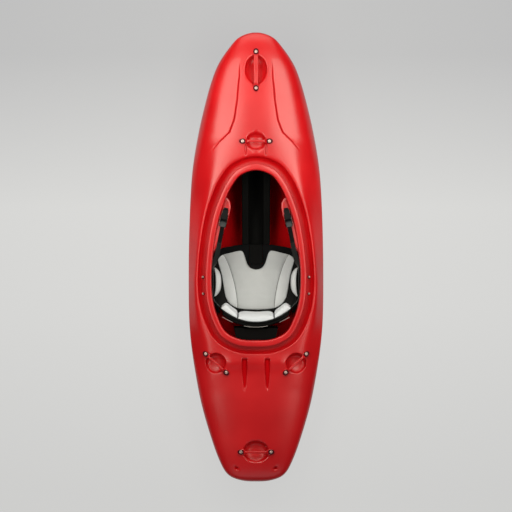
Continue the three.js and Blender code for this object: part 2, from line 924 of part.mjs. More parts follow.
function seatBolt(x) {
  const { shank, head, headHeight, washer, washerHeight, nut, nutHeight } = bolt;
  const fall = rimTop(x) - rimTop(x - seat.travel - nut);
  const under = bolt.spotFace - hull.wall - hanger.flangeHeight - 2 * gap - fall;
  return turned(
    [
      [0, under - nutHeight],
      [nut, under - nutHeight],
      [nut, under],
      [shank, under],
      [shank, gap],
      [washer, gap],
      [washer, gap + washerHeight],
      [head, gap + washerHeight],
      [head, gap + washerHeight + headHeight],
      [0, gap + washerHeight + headHeight],
    ],
    8,
  );
}

// Seat

const seatLength = seat.frontX - seat.rearX;

// Top face of the seat's moulding.
function seatTop(x, y) {
  const rise = seat.frontRise * lookup(seatRiseShares, (x - seat.rearX) / seatLength);
  const side = seat.sideRise * lookup(seatSideShares, Math.abs(y) / seatHalf);
  return seat.low + rise + side;
}

function seatPan() {
  const port = seatSideShares.map(([share]) => share * seatHalf);
  const across = [...port.slice(1).map((y) => -y).reverse(), ...port];
  const keys = [...seatRiseShares, ...seatPlanShares].map(([share]) => share);
  const rings = [];
  for (const along of [...new Set(keys)].sort((a, b) => a - b)) {
    const x = mix(seat.rearX, seat.frontX, along);
    const half = seatHalf * lookup(seatPlanShares, along);
    const topRow = across.map((place, k) => {
      const fromEdge = Math.min(k, across.length - 1 - k);
      const reach = half - seat.edge * fromEdge;
      const y = THREE.MathUtils.clamp(place, -reach, reach);
      return new THREE.Vector3(x, y, seatTop(x, y));
    });
    const under = topRow.map((p) => new THREE.Vector3(p.x, p.y, p.z - seat.thickness)).reverse();
    rings.push([...topRow, ...under]);
  }
  const ribs = [-1, 1].map((side) => {
    const centre = side * seat.ribOffset;
    const low = hull.wall + gap;
    const outline = ribShares.map((share) => {
      const x = mix(seat.rearX, seat.frontX, share);
      return [x, seatTop(x, centre) - seat.thickness / 2];
    });
    const [first, last] = [outline[0][0], outline[outline.length - 1][0]];
    const profile = [[first, low], [last, low], ...outline.reverse()];
    return solid(standing(profile, centre - seat.rib / 2, centre + seat.rib / 2));
  });
  const notch = solid(
    box(
      block.rearX - gap,
      seat.frontX + overrun,
      -block.halfWidth - 2 * gap,
      block.halfWidth + 2 * gap,
      0,
      hull.depth,
    ),
  );
  return solid(skin(rings, "ladder")).add(join(ribs)).subtract(notch);
}

const padLength = pad.frontX - pad.rearX;

// A padded piece over a backing: place(u, v, h) gives a point, with u and v from -1 to 1 and h above it.
function cushion(place, columns, rows, heightAt) {
  const rings = columns.map((u) => [
    ...rows.map((v) => place(u, v, heightAt(u, v))),
    ...[...rows].reverse().map((v) => place(u * cushionBaseShare, v * cushionBaseShare, 0)),
  ]);
  return solid(skin(rings, "ladder"));
}

// Height of a crowned pad as a share of its thickness.
function crown(u, v) {
  const fade = (a) => (1 - Math.abs(a) ** 5) ** (2 / 5);
  return mix(cushionEdgeShare, 1, fade(u) * fade(v));
}

function seatPad() {
  const place = (u, v, h) => {
    const w = (v + 1) / 2;
    const seam = padHalf - mix(pad.rearPanel, pad.frontPanel, w ** 1.7);
    const p = Math.abs(u) / padSeamShare;
    const y = p < 1 ? seam * p : mix(seam, padHalf, p - 1);
    const share = y / padHalf;
    const alongShare = mix(lookup(padRearShares, share), lookup(padFrontShares, share), w);
    const x = pad.rearX + padLength * alongShare;
    const signed = Math.sign(u) * y;
    return new THREE.Vector3(x, signed, seatTop(x, signed) + 3 * gap + h);
  };
  const heightAt = (u, v) => {
    const channel = Math.abs(u) === padSeamShare ? padChannelShare : 1;
    return pad.thickness * crown(u, v) * channel;
  };
  const all = [...padColumnShares.map((u) => -u).reverse(), 0, ...padColumnShares];
  return cushion(place, all, padRowShares, heightAt);
}

function hipPad() {
  const { frontX, rearX, thickness, bottom } = hip;
  const place = (u, v, h) =>
    new THREE.Vector3(
      mix(rearX, frontX, (u + 1) / 2),
      hipOuter - h,
      mix(bottom, hipTop, (v + 1) / 2) - (hipTop - bottom) * hipDroopShare * u * u,
    );
  const heightAt = (u, v) => thickness * crown(u, v) * (1 - hipFadeShare * u * u);
  return cushion(place, hipColumnShares, hipRowShares, heightAt);
}

function hipFoam() {
  const { frontX, rearX, foam, bottom } = hip;
  const round = foam;
  const outline = [
    [rearX - foam, bottom + round],
    [rearX - foam + round, bottom],
    [frontX + foam - round, bottom],
    [frontX + foam, bottom + round],
    [frontX + foam, hipTop - round],
    [frontX + foam - 2 * round, hipTop + foam / 2],
    [rearX - foam + 2 * round, hipTop + foam / 2],
    [rearX - foam, hipTop - round],
  ];
  return solid(standing(outline, hipOuter + gap, hipOuter + gap + foam));
}

function seatHanger() {
  const { frontX, rearX, plate, bottom, flange, flangeHeight, corner, cornerRise } = hanger;
  const inner = Math.max(seatHalf, hipOuter + gap + hip.foam) + gap;
  const outline = [
    [rearX + corner, bottom],
    [frontX - corner, bottom],
    [frontX, bottom + cornerRise],
    [frontX, hull.depth],
    [rearX, hull.depth],
    [rearX, bottom + cornerRise],
  ];
  const side = solid(standing(outline, inner, inner + plate));
  const ceiling = (x) => rimTop(x - seat.travel) - moat.depth - hull.wall;
  const steps = 6;
  const rings = [];
  for (let i = 0; i <= steps; i += 1) {
    const x = mix(rearX, frontX, i / steps);
    const low = ceiling(x) - gap - flangeHeight;
    rings.push(
      [
        [inner, low],
        [inner + flange, low],
        [inner + flange, low + overrun],
        [inner, low + overrun],
      ].map(([y, z]) => new THREE.Vector3(x, y, z)),
    );
  }
  const slots = [bolt.rearX, bolt.frontX].map((x) =>
    solid(
      box(
        x - bolt.shank - gap,
        x + bolt.shank + seat.travel + gap,
        boltY - bolt.shank - gap,
        boltY + bolt.shank + gap,
        bottom,
        hull.depth + overrun,
      ),
    ),
  );
  const space = hollowOf(hanger.play);
  const room = [1 / 3, 2 / 3, 1].reduce(
    (shared, share) => shared.intersect(shifted(space, seat.travel * share, 0, 0)),
    space,
  );
  return side.add(solid(skin(rings))).intersect(room).subtract(join(slots));
}

// Pillars

function pillarTop(x) {
  const climb = (x - pillarRearX) / (pillar.railX - pillarRearX);
  return mix(pillar.rearTop, railTop, smooth(THREE.MathUtils.clamp(climb, 0, 1)));
}

function floorAt(x) {
  return stationAtX(x).keel + hull.wall;
}

function frontPillar() {
  const steps = 12;
  const beam = [];
  const channel = [];
  for (let i = 0; i <= steps; i += 1) {
    const x = mix(pillarRearX, pillar.frontX, i / steps);
    const low = floorAt(x) - hull.wall / 2;
    const ring = (half, bottom, top, at) =>
      [
        [-half, bottom],
        [half, bottom],
        [half, top],
        [-half, top],
      ].map(([y, z]) => new THREE.Vector3(at, y, z));
    beam.push(ring(pillar.halfWidth, low, pillarTop(x), x));
    const past = i === 0 ? -overrun : i === steps ? overrun : 0;
    channel.push(ring(pillar.channel, floorAt(x) + pillar.channelHeight, hull.depth, x + past));
  }
  return solid(skin(beam)).subtract(solid(skin(channel))).intersect(inHollow);
}

// The block between the pillar and the seat's notch, with its rear corners rounded.
function pillarBlock() {
  const { rearX, halfWidth, top, round } = block;
  const front = pillarRearX - gap;
  const shape = new THREE.Shape();
  shape.moveTo(front, -halfWidth);
  shape.lineTo(front, halfWidth);
  shape.lineTo(rearX + round, halfWidth);
  shape.absarc(rearX + round, halfWidth - round, round, Math.PI / 2, Math.PI, false);
  shape.lineTo(rearX, round - halfWidth);
  shape.absarc(rearX + round, round - halfWidth, round, Math.PI, (3 * Math.PI) / 2, false);
  const low = hull.wall + gap;
  const depth = top - low;
  const geometry = new THREE.ExtrudeGeometry(shape, { depth, bevelEnabled: false, curveSegments: 3 });
  return solid(geometry.translate(0, 0, low));
}

// A notched rail on the pillar's wall, which the foot brace slides along.
function footRail() {
  const { rearX, frontX, width, height, pitch, notch } = rail;
  const low = railTop + gap;
  const outline = [[rearX, low], [frontX, low], [frontX, low + height]];
  const count = Math.floor((frontX - rearX) / pitch) - 1;
  for (let i = count; i > 0; i -= 1) {
    const x = rearX + i * pitch;
    outline.push([x + notch, low + height], [x + notch / 2, low + height - notch / 2]);
    outline.push([x - notch / 2, low + height - notch / 2], [x - notch, low + height]);
  }
  outline.push([rearX, low + height]);
  const middle = (pillar.halfWidth + pillar.channel) / 2;
  return solid(standing(outline, middle - width / 2, middle + width / 2));
}

function rearPillarBody() {
  const { length, frontHalf, rearHalf, panelHalf, panel, sill } = rearPillar;
  const steps = 4;
  const rings = [];
  for (let i = 0; i <= steps; i += 1) {
    const share = i / steps;
    const x = rearPillarX - length * share;
    const half = mix(frontHalf, rearHalf, share);
    const low = floorAt(x) - hull.wall / 2;
    rings.push(
      [
        [-half, low],
        [half, low],
        [half, hull.depth],
        [-half, hull.depth],
      ].map(([y, z]) => new THREE.Vector3(x, y, z)),
    );
  }
  const recess = solid(
    box(rearPillarX - panel, rearPillarX + overrun, -panelHalf, panelHalf, sill, hull.depth),
  );
  return solid(skin(rings)).subtract(recess).intersect(inHollow);
}

// Foot brace

const knobSpace = 2 * (knob.radius + knob.lobe + gap);
const knobX = brace.x - knobSpace / 2;

function braceBeam() {
  const { x, beam, beamHeight, cheek, cheekDepth, halfWidth, play } = brace;
  const under = railTop + gap + rail.height + play;
  const inside = pillar.halfWidth + play;
  const bar = box(x, x + beam, -halfWidth, halfWidth, under, under + beamHeight);
  const cheeks = [-1, 1].map((side) => {
    const [near, far] = [side * inside, side * (inside + cheek)].sort((a, b) => a - b);
    return solid(box(x - knobSpace, x + 2 * beam, near, far, under - cheekDepth, under + beamHeight / 2));
  });
  const saddle = solid(
    box(x - knobSpace, x + 2 * beam, -inside - cheek / 2, inside + cheek / 2, under, under + beamHeight / 2),
  );
  const wide = (knob.stem + gap) / Math.cos(Math.PI / knob.stemSides);
  const hole = solid(rod(wide, under - overrun, under + overrun, knob.stemSides).translate(knobX, 0, 0));
  return join([solid(bar), ...cheeks, saddle]).subtract(hole);
}

// A foot plate: a rounded panel with ribs on its bow side.
function footPlate() {
  const { x, halfWidth, plateBottom, plate, plateRib, ribs: ribCount, cheek, play } = brace;
  const near = pillar.halfWidth + play + cheek + gap;
  const round = plateRib;
  const outline = [
    [near, plateBottom],
    [halfWidth - round, plateBottom],
    [halfWidth, plateBottom + round],
    [halfWidth, plateTop - round],
    [halfWidth - round, plateTop],
    [near, plateTop],
  ];
  const upright = (geometry) => geometry.rotateX(Math.PI / 2).rotateZ(Math.PI / 2);
  const panel = solid(upright(slab(outline, plate)));
  const faceX = x - gap - plateRib;
  const low = geometryOf(panel);
  low.computeBoundingBox();
  const back = low.boundingBox.min.x;
  const ribs = [];
  for (let i = 1; i <= ribCount; i += 1) {
    const z = mix(plateBottom, plateTop, i / (ribCount + 1));
    const [startX, endX] = [back + plate / 2, back + plate + plateRib - gap];
    ribs.push(solid(box(startX, endX, near, halfWidth, z - plate / 2, z + plate / 2)));
  }
  return shifted(join([panel, ...ribs]), faceX - back - plate, 0, 0);
}

function footFoam() {
  const { x, halfWidth, plateBottom, plate, plateRib, cheek, play, foam } = brace;
  const near = pillar.halfWidth + play + cheek + gap;
  const face = x - gap - plateRib - plate - gap;
  const place = (u, v, h) =>
    new THREE.Vector3(face - h, mix(near, halfWidth, (u + 1) / 2), mix(plateBottom, plateTop, (v + 1) / 2));
  return cushion(place, footRowShares, footRowShares, (u, v) => foam * crown(u, v));
}

// The knob that clamps the foot brace, with lobes for the fingers.
function lockKnob() {
  const shape = new THREE.Shape();
  const steps = knob.lobes * 6;
  for (let i = 0; i < steps; i += 1) {
    const angle = (2 * Math.PI * i) / steps;
    const radius = knob.radius + knob.lobe * Math.cos(knob.lobes * angle);
    const [x, y] = [radius * Math.cos(angle), radius * Math.sin(angle)];
    if (i === 0) shape.moveTo(x, y);
    else shape.lineTo(x, y);
  }
  const head = new THREE.ExtrudeGeometry(shape, {
    depth: knob.height - 2 * knob.lobe,
    bevelThickness: knob.lobe,
    bevelSize: knob.lobe,
    bevelOffset: -knob.lobe,
    bevelSegments: 1,
  });
  head.translate(0, 0, knob.lobe);
  return solid(head).add(solid(rod(knob.stem, -knob.stemLength, knob.lobe, knob.stemSides)));
}

// Backband

// A point on the backband: y across, up from its middle, and forward off its front face.
function bandPoint(y, up, forward) {
  const share = y / bandHalf;
  const slope = (2 * band.bow * share) / bandHalf;
  const outward = new THREE.Vector2(1, -slope).normalize();
  const x = band.x + band.bow * share * share - band.lean * up;
  return new THREE.Vector3(x + outward.x * forward, y + outward.y * forward, bandMiddle + up);
}

function bandShell() {
  const steps = 16;
  const rings = [];
  for (let i = 0; i <= steps; i += 1) {
    const share = mix(-1, 1, i / steps);
    const y = bandHalf * share;
    const half = band.halfHeight * mix(bandEndShare, 1, Math.sqrt(1 - Math.abs(share) ** 5));
    rings.push([
      bandPoint(y, -half, 0),
      bandPoint(y, half, 0),
      bandPoint(y, half, -band.thickness),
      bandPoint(y, -half, -band.thickness),
    ]);
  }
  return solid(skin(rings));
}

function bandPad(low, high, reach) {
  const place = (u, v, h) => {
    const y = mix(low, high, (u + 1) / 2);
    const tall = band.halfHeight * reach(y) * (1 - bandPadShares.droop * Math.abs(u) ** 3);
    return bandPoint(y, v * tall, gap + h);
  };
  return cushion(place, bandColumnShares, bandRowShares, (u, v) => band.padThickness * crown(u, v));
}

// Straps and ratchets

const turn = THREE.MathUtils.degToRad(ratchet.turn);
const ratchetSeat = hookTop + gap;

// The frame of the port ratchet, with X the way its tongue is drawn.
function ratchetFrame() {
  const frame = new THREE.Matrix4().makeRotationZ(-turn);
  return frame.setPosition(ratchetX, ratchetY, ratchetSeat);
}

// The strap from the backband's end to the tongue: it runs over the hip pad, then turns flat.
function strapRibbon() {
  const { width, thickness, insets } = strap;
  const { leave, rise, dip, turnFrom, turnOver } = strapShares;
  const [rearY, middleY, frontY] = [hip.rearX, mix(hip.rearX, hip.frontX, 1 / 2), hip.frontX].map(
    (x, i) => neckAt(x) - insets[i],
  );
  const start = bandPoint(bandHalf, 0, 0);
  const tail = new THREE.Vector3(tongue.rear - gap, 0, ratchet.floor + gap + tongue.thickness / 2);
  tail.applyMatrix4(ratchetFrame());
  const away = new THREE.Vector3(-Math.cos(turn), Math.sin(turn), 0);
  const route = new THREE.CatmullRomCurve3(
    [
      start.clone().add(new THREE.Vector3(gap, thickness, 0)),
      new THREE.Vector3(
        mix(start.x, hip.rearX, 1 / 2),
        mix(start.y, rearY, leave),
        mix(start.z, strapHeight, rise),
      ),
      new THREE.Vector3(hip.rearX, rearY, strapHeight),
      new THREE.Vector3(mix(hip.rearX, hip.frontX, 1 / 2), middleY, strapHeight),
      new THREE.Vector3(hip.frontX, frontY, mix(strapHeight, tail.z, dip)),
      tail.clone().addScaledVector(away, width),
      tail,
    ],
    false,
    "centripetal",
  );
  const steps = 20;
  const rings = [];
  for (let i = 0; i <= steps; i += 1) {
    const share = i / steps;
    const point = route.getPointAt(share);
    const along = i === steps ? away.clone().negate() : route.getTangentAt(share);
    const level = Z.clone().cross(along).normalize();
    const flat = smooth((share - turnFrom) / turnOver);
    const wide = Z.clone().lerp(level, flat).normalize();
    const thin = wide.clone().cross(along).normalize();
    const place = (a, b) =>
      point.clone().addScaledVector(wide, (a * width) / 2).addScaledVector(thin, (b * thickness) / 2);
    rings.push([place(-1, -1), place(1, -1), place(1, 1), place(-1, 1)]);
  }
  return solid(skin(rings));
}

function toothedTongue() {
  const { width, thickness, tooth, pitch, rear, front } = tongue;
  const outline = [[rear, 0], [front - pitch, 0], [front, thickness / 2], [front - pitch, thickness]];
  const count = Math.floor((front - rear) / pitch) - 2;
  for (let i = count; i > 0; i -= 1) {
    const x = rear + i * pitch;
    outline.push([x + pitch * toothShares.foot, thickness]);
    outline.push([x + pitch * toothShares.tip, thickness + tooth], [x, thickness]);
  }
  outline.push([rear, thickness]);
  return solid(standing(outline, -width / 2, width / 2).translate(0, 0, ratchet.floor + gap));
}

function crossHole(x, z, radius) {
  const hole = rod(radius, -ratchet.width, ratchet.width, 8).rotateX(Math.PI / 2);
  return solid(hole.translate(x, 0, z));
}

function ratchetBase() {
  const { length, width, floor, cheek, cheekLength, cheekHeight } = ratchet;
  const plate = [
    [-length / 2, -width / 2 + cheek],
    [-length / 2 + cheek, -width / 2],
    [length / 2 - cheek, -width / 2],
    [length / 2, -width / 2 + cheek],
    [length / 2, width / 2 - cheek],
    [length / 2 - cheek, width / 2],
    [-length / 2 + cheek, width / 2],
    [-length / 2, width / 2 - cheek],
  ];
  const side = [
    [-cheekLength / 2, 0],
    [cheekLength / 2, 0],
    [cheekLength / 2, floor * 2],
    [lever.pivotX + lever.hub, cheekHeight],
    [release.pivotX, cheekHeight - floor],
    [-cheekLength / 2, floor * 3],
  ];
  const walls = [-1, 1].map((end) => {
    const [near, far] = [(end * width) / 2, end * (width / 2 - cheek)].sort((a, b) => a - b);
    return solid(standing(side, near, far));
  });
  return join([solid(slab(plate, floor)), ...walls])
    .subtract(crossHole(lever.pivotX, lever.pivotZ, pin.radius + pin.play))
    .subtract(crossHole(release.pivotX, release.pivotZ, pin.radius + pin.play));
}

const innerHalf = ratchet.width / 2 - ratchet.cheek - ratchet.play;
const toothTop = ratchet.floor + gap + tongue.thickness + tongue.tooth;

// The thumb lever, with the drive pawl under its hub.
function thumbLever() {
  const { pivotX, pivotZ, hub, length, tip, pawl, thumb } = lever;
  const low = toothTop + gap * 2;
  const outline = [
    [pivotX - hub, pivotZ],
    [pivotX - hub * 0.8, pivotZ - hub * 0.6],
    [pivotX - hub * 0.2, low],
    [pivotX + pawl * 0.25, low],
    [pivotX + hub, pivotZ - hub * 0.6],
    [pivotX + length, pivotZ - tip * 1.6],
    [pivotX + length + thumb, pivotZ - tip],
    [pivotX + length + thumb * 0.7, pivotZ + tip * 0.3],
    [pivotX + length * 0.6, pivotZ + tip * 0.9],
    [pivotX + hub * 0.8, pivotZ + hub],
    [pivotX - hub * 0.6, pivotZ + hub * 0.8],
  ];
  const arm = solid(standing(outline, -innerHalf, innerHalf));
  return arm.subtract(crossHole(pivotX, pivotZ, pin.radius + pin.play));
}

// The release pawl: its nose holds the teeth, its tail is pressed to let the strap go.
function releasePawl() {
  const { pivotX, pivotZ, hub, nose, tail, tailRise } = release;
  const low = toothTop + gap * 2;
  const outline = [
    [pivotX + nose * 0.9, low],
    [pivotX + nose, low + hub * 0.4],
    [pivotX + hub, pivotZ + hub * 0.5],
    [pivotX, pivotZ + hub],
    [pivotX - hub, pivotZ + hub * 0.8],
    [pivotX - tail, pivotZ + tailRise],
    [pivotX - tail - hub * 0.4, pivotZ + tailRise - hub * 0.6],
    [pivotX - hub, pivotZ - hub * 0.6],
    [pivotX - hub * 0.3, pivotZ - hub * 0.9],
    [pivotX + hub * 0.8, low],
  ];
  const arm = solid(standing(outline, -innerHalf, innerHalf));
  return arm.subtract(crossHole(pivotX, pivotZ, pin.radius + pin.play));
}

function pivotPin() {
  const half = ratchet.width / 2 + pin.head;
  const big = pin.radius * pinHeadShare;
  const low = ratchet.width / 2 + gap;
  const port = [[pin.radius, low], [big, low], [big, half], [0, half]];
  const starboard = port.map(([r, z]) => [r, -z]).reverse();
  return turned([...starboard, ...port], 8).rotateX(Math.PI / 2);
}

// Assembly

addMesh("hull_shell", hullShell(), finish.polyethylene);

for (const [name, place] of Object.entries(handlePlaces)) {
  addMesh(name, handleBar(place), finish.polyethylene);
}
for (const { name, frame } of screwPlaces()) {
  addMesh(name, handleScrew(), finish.steel).applyMatrix4(frame);
}
for (const { name, x, y, z } of boltPlaces) {
  addMesh(name, seatBolt(x), finish.steel).position.set(x, y, z);
}

addMesh("front_pillar", frontPillar(), finish.blackPlastic);
addMesh("pillar_block", pillarBlock(), finish.blackPlastic);
addMesh("rear_pillar", rearPillarBody(), finish.blackFoam);
addMesh("seat_pan", seatPan(), finish.blackPlastic);
addMesh("seat_pad", seatPad(), finish.greyFabric);
addMesh("foot_brace_beam", braceBeam(), finish.blackPlastic);
const knobZ = railTop + gap + rail.height + brace.play + brace.beamHeight / 2 + gap;
addMesh("foot_brace_knob", lockKnob(), finish.greyPlastic).position.set(knobX, 0, knobZ);
addMesh("backband_shell", bandShell(), finish.blackPlastic);
const centreHalf = bandHalf / 2;
const sidePadStart = centreHalf + band.padGap;
const fullHeight = () => bandPadShares.centre;
const taper = (y) =>
  mix(bandPadShares.near, bandPadShares.far, (Math.abs(y) - sidePadStart) / (bandHalf - sidePadStart));
addMesh("backband_pad_centre", bandPad(-centreHalf, centreHalf, fullHeight), finish.whiteFabric);

const pairs = [
  ["foot_rail", footRail(), finish.greyPlastic],
  ["foot_plate", footPlate(), finish.blackPlastic],
  ["foot_foam", footFoam(), finish.blackFoam],
  ["hip_pad", hipPad(), finish.greyFabric],
  ["hip_foam", hipFoam(), finish.blackFoam],
  ["seat_hanger", seatHanger(), finish.blackPlastic],
  ["backband_pad", bandPad(sidePadStart, bandHalf - band.padGap, taper), finish.whiteFabric],
  ["backband_strap", strapRibbon(), finish.blackPlastic],
];
for (const [name, piece, look] of pairs) {
  addMesh(`${name}_left`, piece, look);
  addMesh(`${name}_right`, mirrored(piece), look);
}

const pinPlaces = [
  ["lever_pin", lever],
  ["release_pin", release],
];
for (const [sideName, side] of [["left", 1], ["right", -1]]) {
  const group = new THREE.Group();
  group.position.set(ratchetX, side * ratchetY, ratchetSeat);
  group.rotation.z = -side * turn;
  addMesh(`ratchet_base_${sideName}`, ratchetBase(), finish.blackPlastic, group);
  addMesh(`ratchet_lever_${sideName}`, thumbLever(), finish.blackPlastic, group);
  addMesh(`ratchet_release_${sideName}`, releasePawl(), finish.greyPlastic, group);
  addMesh(`ladder_tongue_${sideName}`, toothedTongue(), finish.blackPlastic, group);
  for (const [name, { pivotX, pivotZ }] of pinPlaces) {
    addMesh(`${name}_${sideName}`, pivotPin(), finish.steel, group).position.set(pivotX, 0, pivotZ);
  }
  kayak.add(group);
}

export default kayak;
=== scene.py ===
import json
from math import cos, pi, radians, sin
import bmesh
import bpy
import numpy as np
from mathutils import Matrix, Vector

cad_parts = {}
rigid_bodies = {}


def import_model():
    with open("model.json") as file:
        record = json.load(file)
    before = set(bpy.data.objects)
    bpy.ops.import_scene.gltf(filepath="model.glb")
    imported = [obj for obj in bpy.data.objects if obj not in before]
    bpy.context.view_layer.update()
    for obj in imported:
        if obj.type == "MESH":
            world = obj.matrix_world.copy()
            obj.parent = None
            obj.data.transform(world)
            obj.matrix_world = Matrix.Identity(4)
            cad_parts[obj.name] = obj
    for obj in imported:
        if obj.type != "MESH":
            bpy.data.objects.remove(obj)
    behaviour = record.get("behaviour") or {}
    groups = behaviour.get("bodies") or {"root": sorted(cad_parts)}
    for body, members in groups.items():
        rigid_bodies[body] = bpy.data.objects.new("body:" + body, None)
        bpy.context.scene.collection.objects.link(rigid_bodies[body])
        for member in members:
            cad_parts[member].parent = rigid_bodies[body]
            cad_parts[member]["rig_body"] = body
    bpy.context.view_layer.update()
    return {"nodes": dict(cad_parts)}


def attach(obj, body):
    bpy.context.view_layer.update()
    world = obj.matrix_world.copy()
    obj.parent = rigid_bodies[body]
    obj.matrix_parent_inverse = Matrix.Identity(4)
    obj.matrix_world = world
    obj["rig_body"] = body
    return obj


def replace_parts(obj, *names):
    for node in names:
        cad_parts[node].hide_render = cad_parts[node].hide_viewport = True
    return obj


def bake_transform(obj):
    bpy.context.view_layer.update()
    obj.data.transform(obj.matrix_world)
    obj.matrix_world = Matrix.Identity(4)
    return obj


# A whitewater kayak lying flat, seen from straight above. Metres: +X bow, +Y port, +Z up.
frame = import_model()
mm = 0.001
sides = ((1, "left"), (-1, "right"))
print("frame loaded")

# camera: square-on above the cockpit, bow at the top of the picture
view = {"height": 7.0, "over": 0.0143, "fieldDegrees": 21.07}
camera = bpy.data.cameras.new("camera")
camera.sensor_fit = "HORIZONTAL"
camera.angle = radians(view["fieldDegrees"])
camera.clip_end = 60
cameraObject = bpy.data.objects.new("camera", camera)
cameraObject.location = (view["over"], 0, view["height"])
cameraObject.rotation_euler = (0, 0, radians(-90))
bpy.context.scene.collection.objects.link(cameraObject)
bpy.context.scene.camera = cameraObject
print("camera placed")


# materials

def linear(hexColour):
    channels = [int(hexColour[i:i + 2], 16) / 255 for i in (0, 2, 4)]
    return [c / 12.92 if c <= 0.04045 else ((c + 0.055) / 1.055) ** 2.4 for c in channels] + [1]


def addNode(tree, kind, settings={}, **links):
    # settings are properties or input values by name, links are sockets to join to inputs
    node = tree.nodes.new("ShaderNode" + kind)
    for name, value in settings.items():
        if name in node.inputs:
            node.inputs[name].default_value = value
        else:
            setattr(node, name, value)
    for name, socket in links.items():
        tree.links.new(socket, node.inputs[int(name[1:]) if name[1:].isdigit() else name.replace("_", " ")])
    return node


def newMaterial(name, **values):
    material = bpy.data.materials.new(name)
    material.use_nodes = True
    tree = material.node_tree
    shader = tree.nodes["Principled BSDF"]
    for key, value in values.items():
        shader.inputs[key.replace("_", " ")].default_value = value
    place = addNode(tree, "TexCoord").outputs["Object"]
    return material, tree, shader, place


def ramp(tree, value, stops):
    node = addNode(tree, "ValToRGB", i0=value)
    while len(node.color_ramp.elements) < len(stops):
        node.color_ramp.elements.new(0.5)
    for element, (at, colour) in zip(node.color_ramp.elements, stops):
        element.position = at
        element.color = colour
    return node.outputs["Color"]


def dress(tree, shader, colour, bump=None, rough=None):
    # bump is height, strength and distance; rough is a value and the roughness at its ends
    tree.links.new(colour, shader.inputs["Base Color"])
    if bump:
        node = addNode(tree, "Bump", {"Strength": bump[1], "Distance": bump[2] * mm}, Height=bump[0])
        tree.links.new(node.outputs["Normal"], shader.inputs["Normal"])
    if rough:
        node = addNode(tree, "MapRange", {"To Min": rough[1], "To Max": rough[2]}, Value=rough[0])
        tree.links.new(node.outputs["Result"], shader.inputs["Roughness"])


def tinted(colour, times, plus=0.0):
    return [min(c * times + plus, 1) for c in colour[:3]] + [1]


# rotomoulded polyethylene: satin, with a faint orange peel and soft cloudy colour
def makePolyethylene(name, dark, mid, light, roughness=0.29, gloss=0.58):
    grain = {"peel": 3.0 * mm, "cloud": 240 * mm, "bump": 0.06, "bumpDepth": 0.4, "smoother": 0.04, "rougher": 0.06}
    material, tree, shader, place = newMaterial(name, Specular_IOR_Level=gloss, IOR=1.51)
    cloud = addNode(tree, "TexNoise", {"Scale": 1 / grain["cloud"], "Detail": 2}, Vector=place).outputs["Fac"]
    colour = ramp(tree, cloud, [(0.3, linear(dark)), (0.5, linear(mid)), (0.72, linear(light))])
    peel = addNode(tree, "TexNoise", {"Scale": 1 / grain["peel"], "Detail": 3, "Roughness": 0.6}, Vector=place)
    dress(tree, shader, colour, (peel.outputs["Fac"], grain["bump"], grain["bumpDepth"]),
          (cloud, roughness - grain["smoother"], roughness + grain["rougher"]))
    return material


def makeGrained(name, texture, size, stops, bump=None, rough=None, **values):
    # a material whose colour, bump and roughness all follow one grain, of the size given in millimetres
    material, tree, shader, place = newMaterial(name, **values)
    detail = {"Detail": 2} if texture == "TexNoise" else {}
    grain = addNode(tree, texture, {"Scale": 1 / (size * mm), **detail}, Vector=place).outputs[0]
    dress(tree, shader, ramp(tree, grain, stops), bump and (grain, *bump), rough and (grain, *rough))
    return material


# injection-moulded plastic: fine spark grain that scatters the light
def makeMoulded(name, colour, roughness, gloss=0.5):
    base = linear(colour)
    return makeGrained(name, "TexNoise", 0.9, [(0.35, base), (0.75, tinted(base, 1.5, 0.002))], (0.25, 0.15),
                       (roughness - 0.06, roughness + 0.1), IOR=1.5, Specular_IOR_Level=gloss)


# closed-cell foam: dull, with fine cells cut open at the surface
def makeFoam(name, colour):
    base = linear(colour)
    return makeGrained(name, "TexVoronoi", 1.6, [(0.1, base), (0.8, tinted(base, 2, 0.001))], (0.5, 0.4),
                       Roughness=0.93, Specular_IOR_Level=0.08)


# warp-knit polyester laminated to foam: a soft matt cloth with a small rib and a little fuzz
def makeCloth(name, colour, shade, thread=2.6):
    # the knit is about 0.8 mm; drawn at 2.6 mm so that it shows
    grain = {"tone": 60 * mm, "bump": 0.35, "bumpDepth": 0.5}
    material, tree, shader, place = newMaterial(name, Roughness=0.92, Specular_IOR_Level=0.2, Sheen_Weight=0.25,
                                                Sheen_Roughness=0.5)
    warp, weft = [addNode(tree, "TexWave", {"Scale": 1 / (thread * mm) / 6.28, "Distortion": 0.6, "Detail": 1,
                                            "bands_direction": axis}, Vector=place).outputs["Fac"] for axis in "XY"]
    knit = addNode(tree, "Math", {"operation": "MULTIPLY"}, i0=warp, i1=weft).outputs["Value"]
    tone = addNode(tree, "TexNoise", {"Scale": 1 / grain["tone"], "Detail": 4}, Vector=place).outputs["Fac"]
    mixed = addNode(tree, "Math", {"operation": "ADD"}, i0=tone, i1=knit).outputs["Value"]
    dress(tree, shader, ramp(tree, mixed, [(0.35, linear(shade)), (1.0, linear(colour))]),
          (knit, grain["bump"], grain["bumpDepth"]))
    return material


# turned stainless steel: bright, with fine marks from the tool
def makeSteel(name, colour):
    base = linear(colour)
    return makeGrained(name, "TexNoise", 0.7, [(0.3, tinted(base, 0.8)), (0.7, base)], None, (0.34, 0.52), Metallic=1.0)


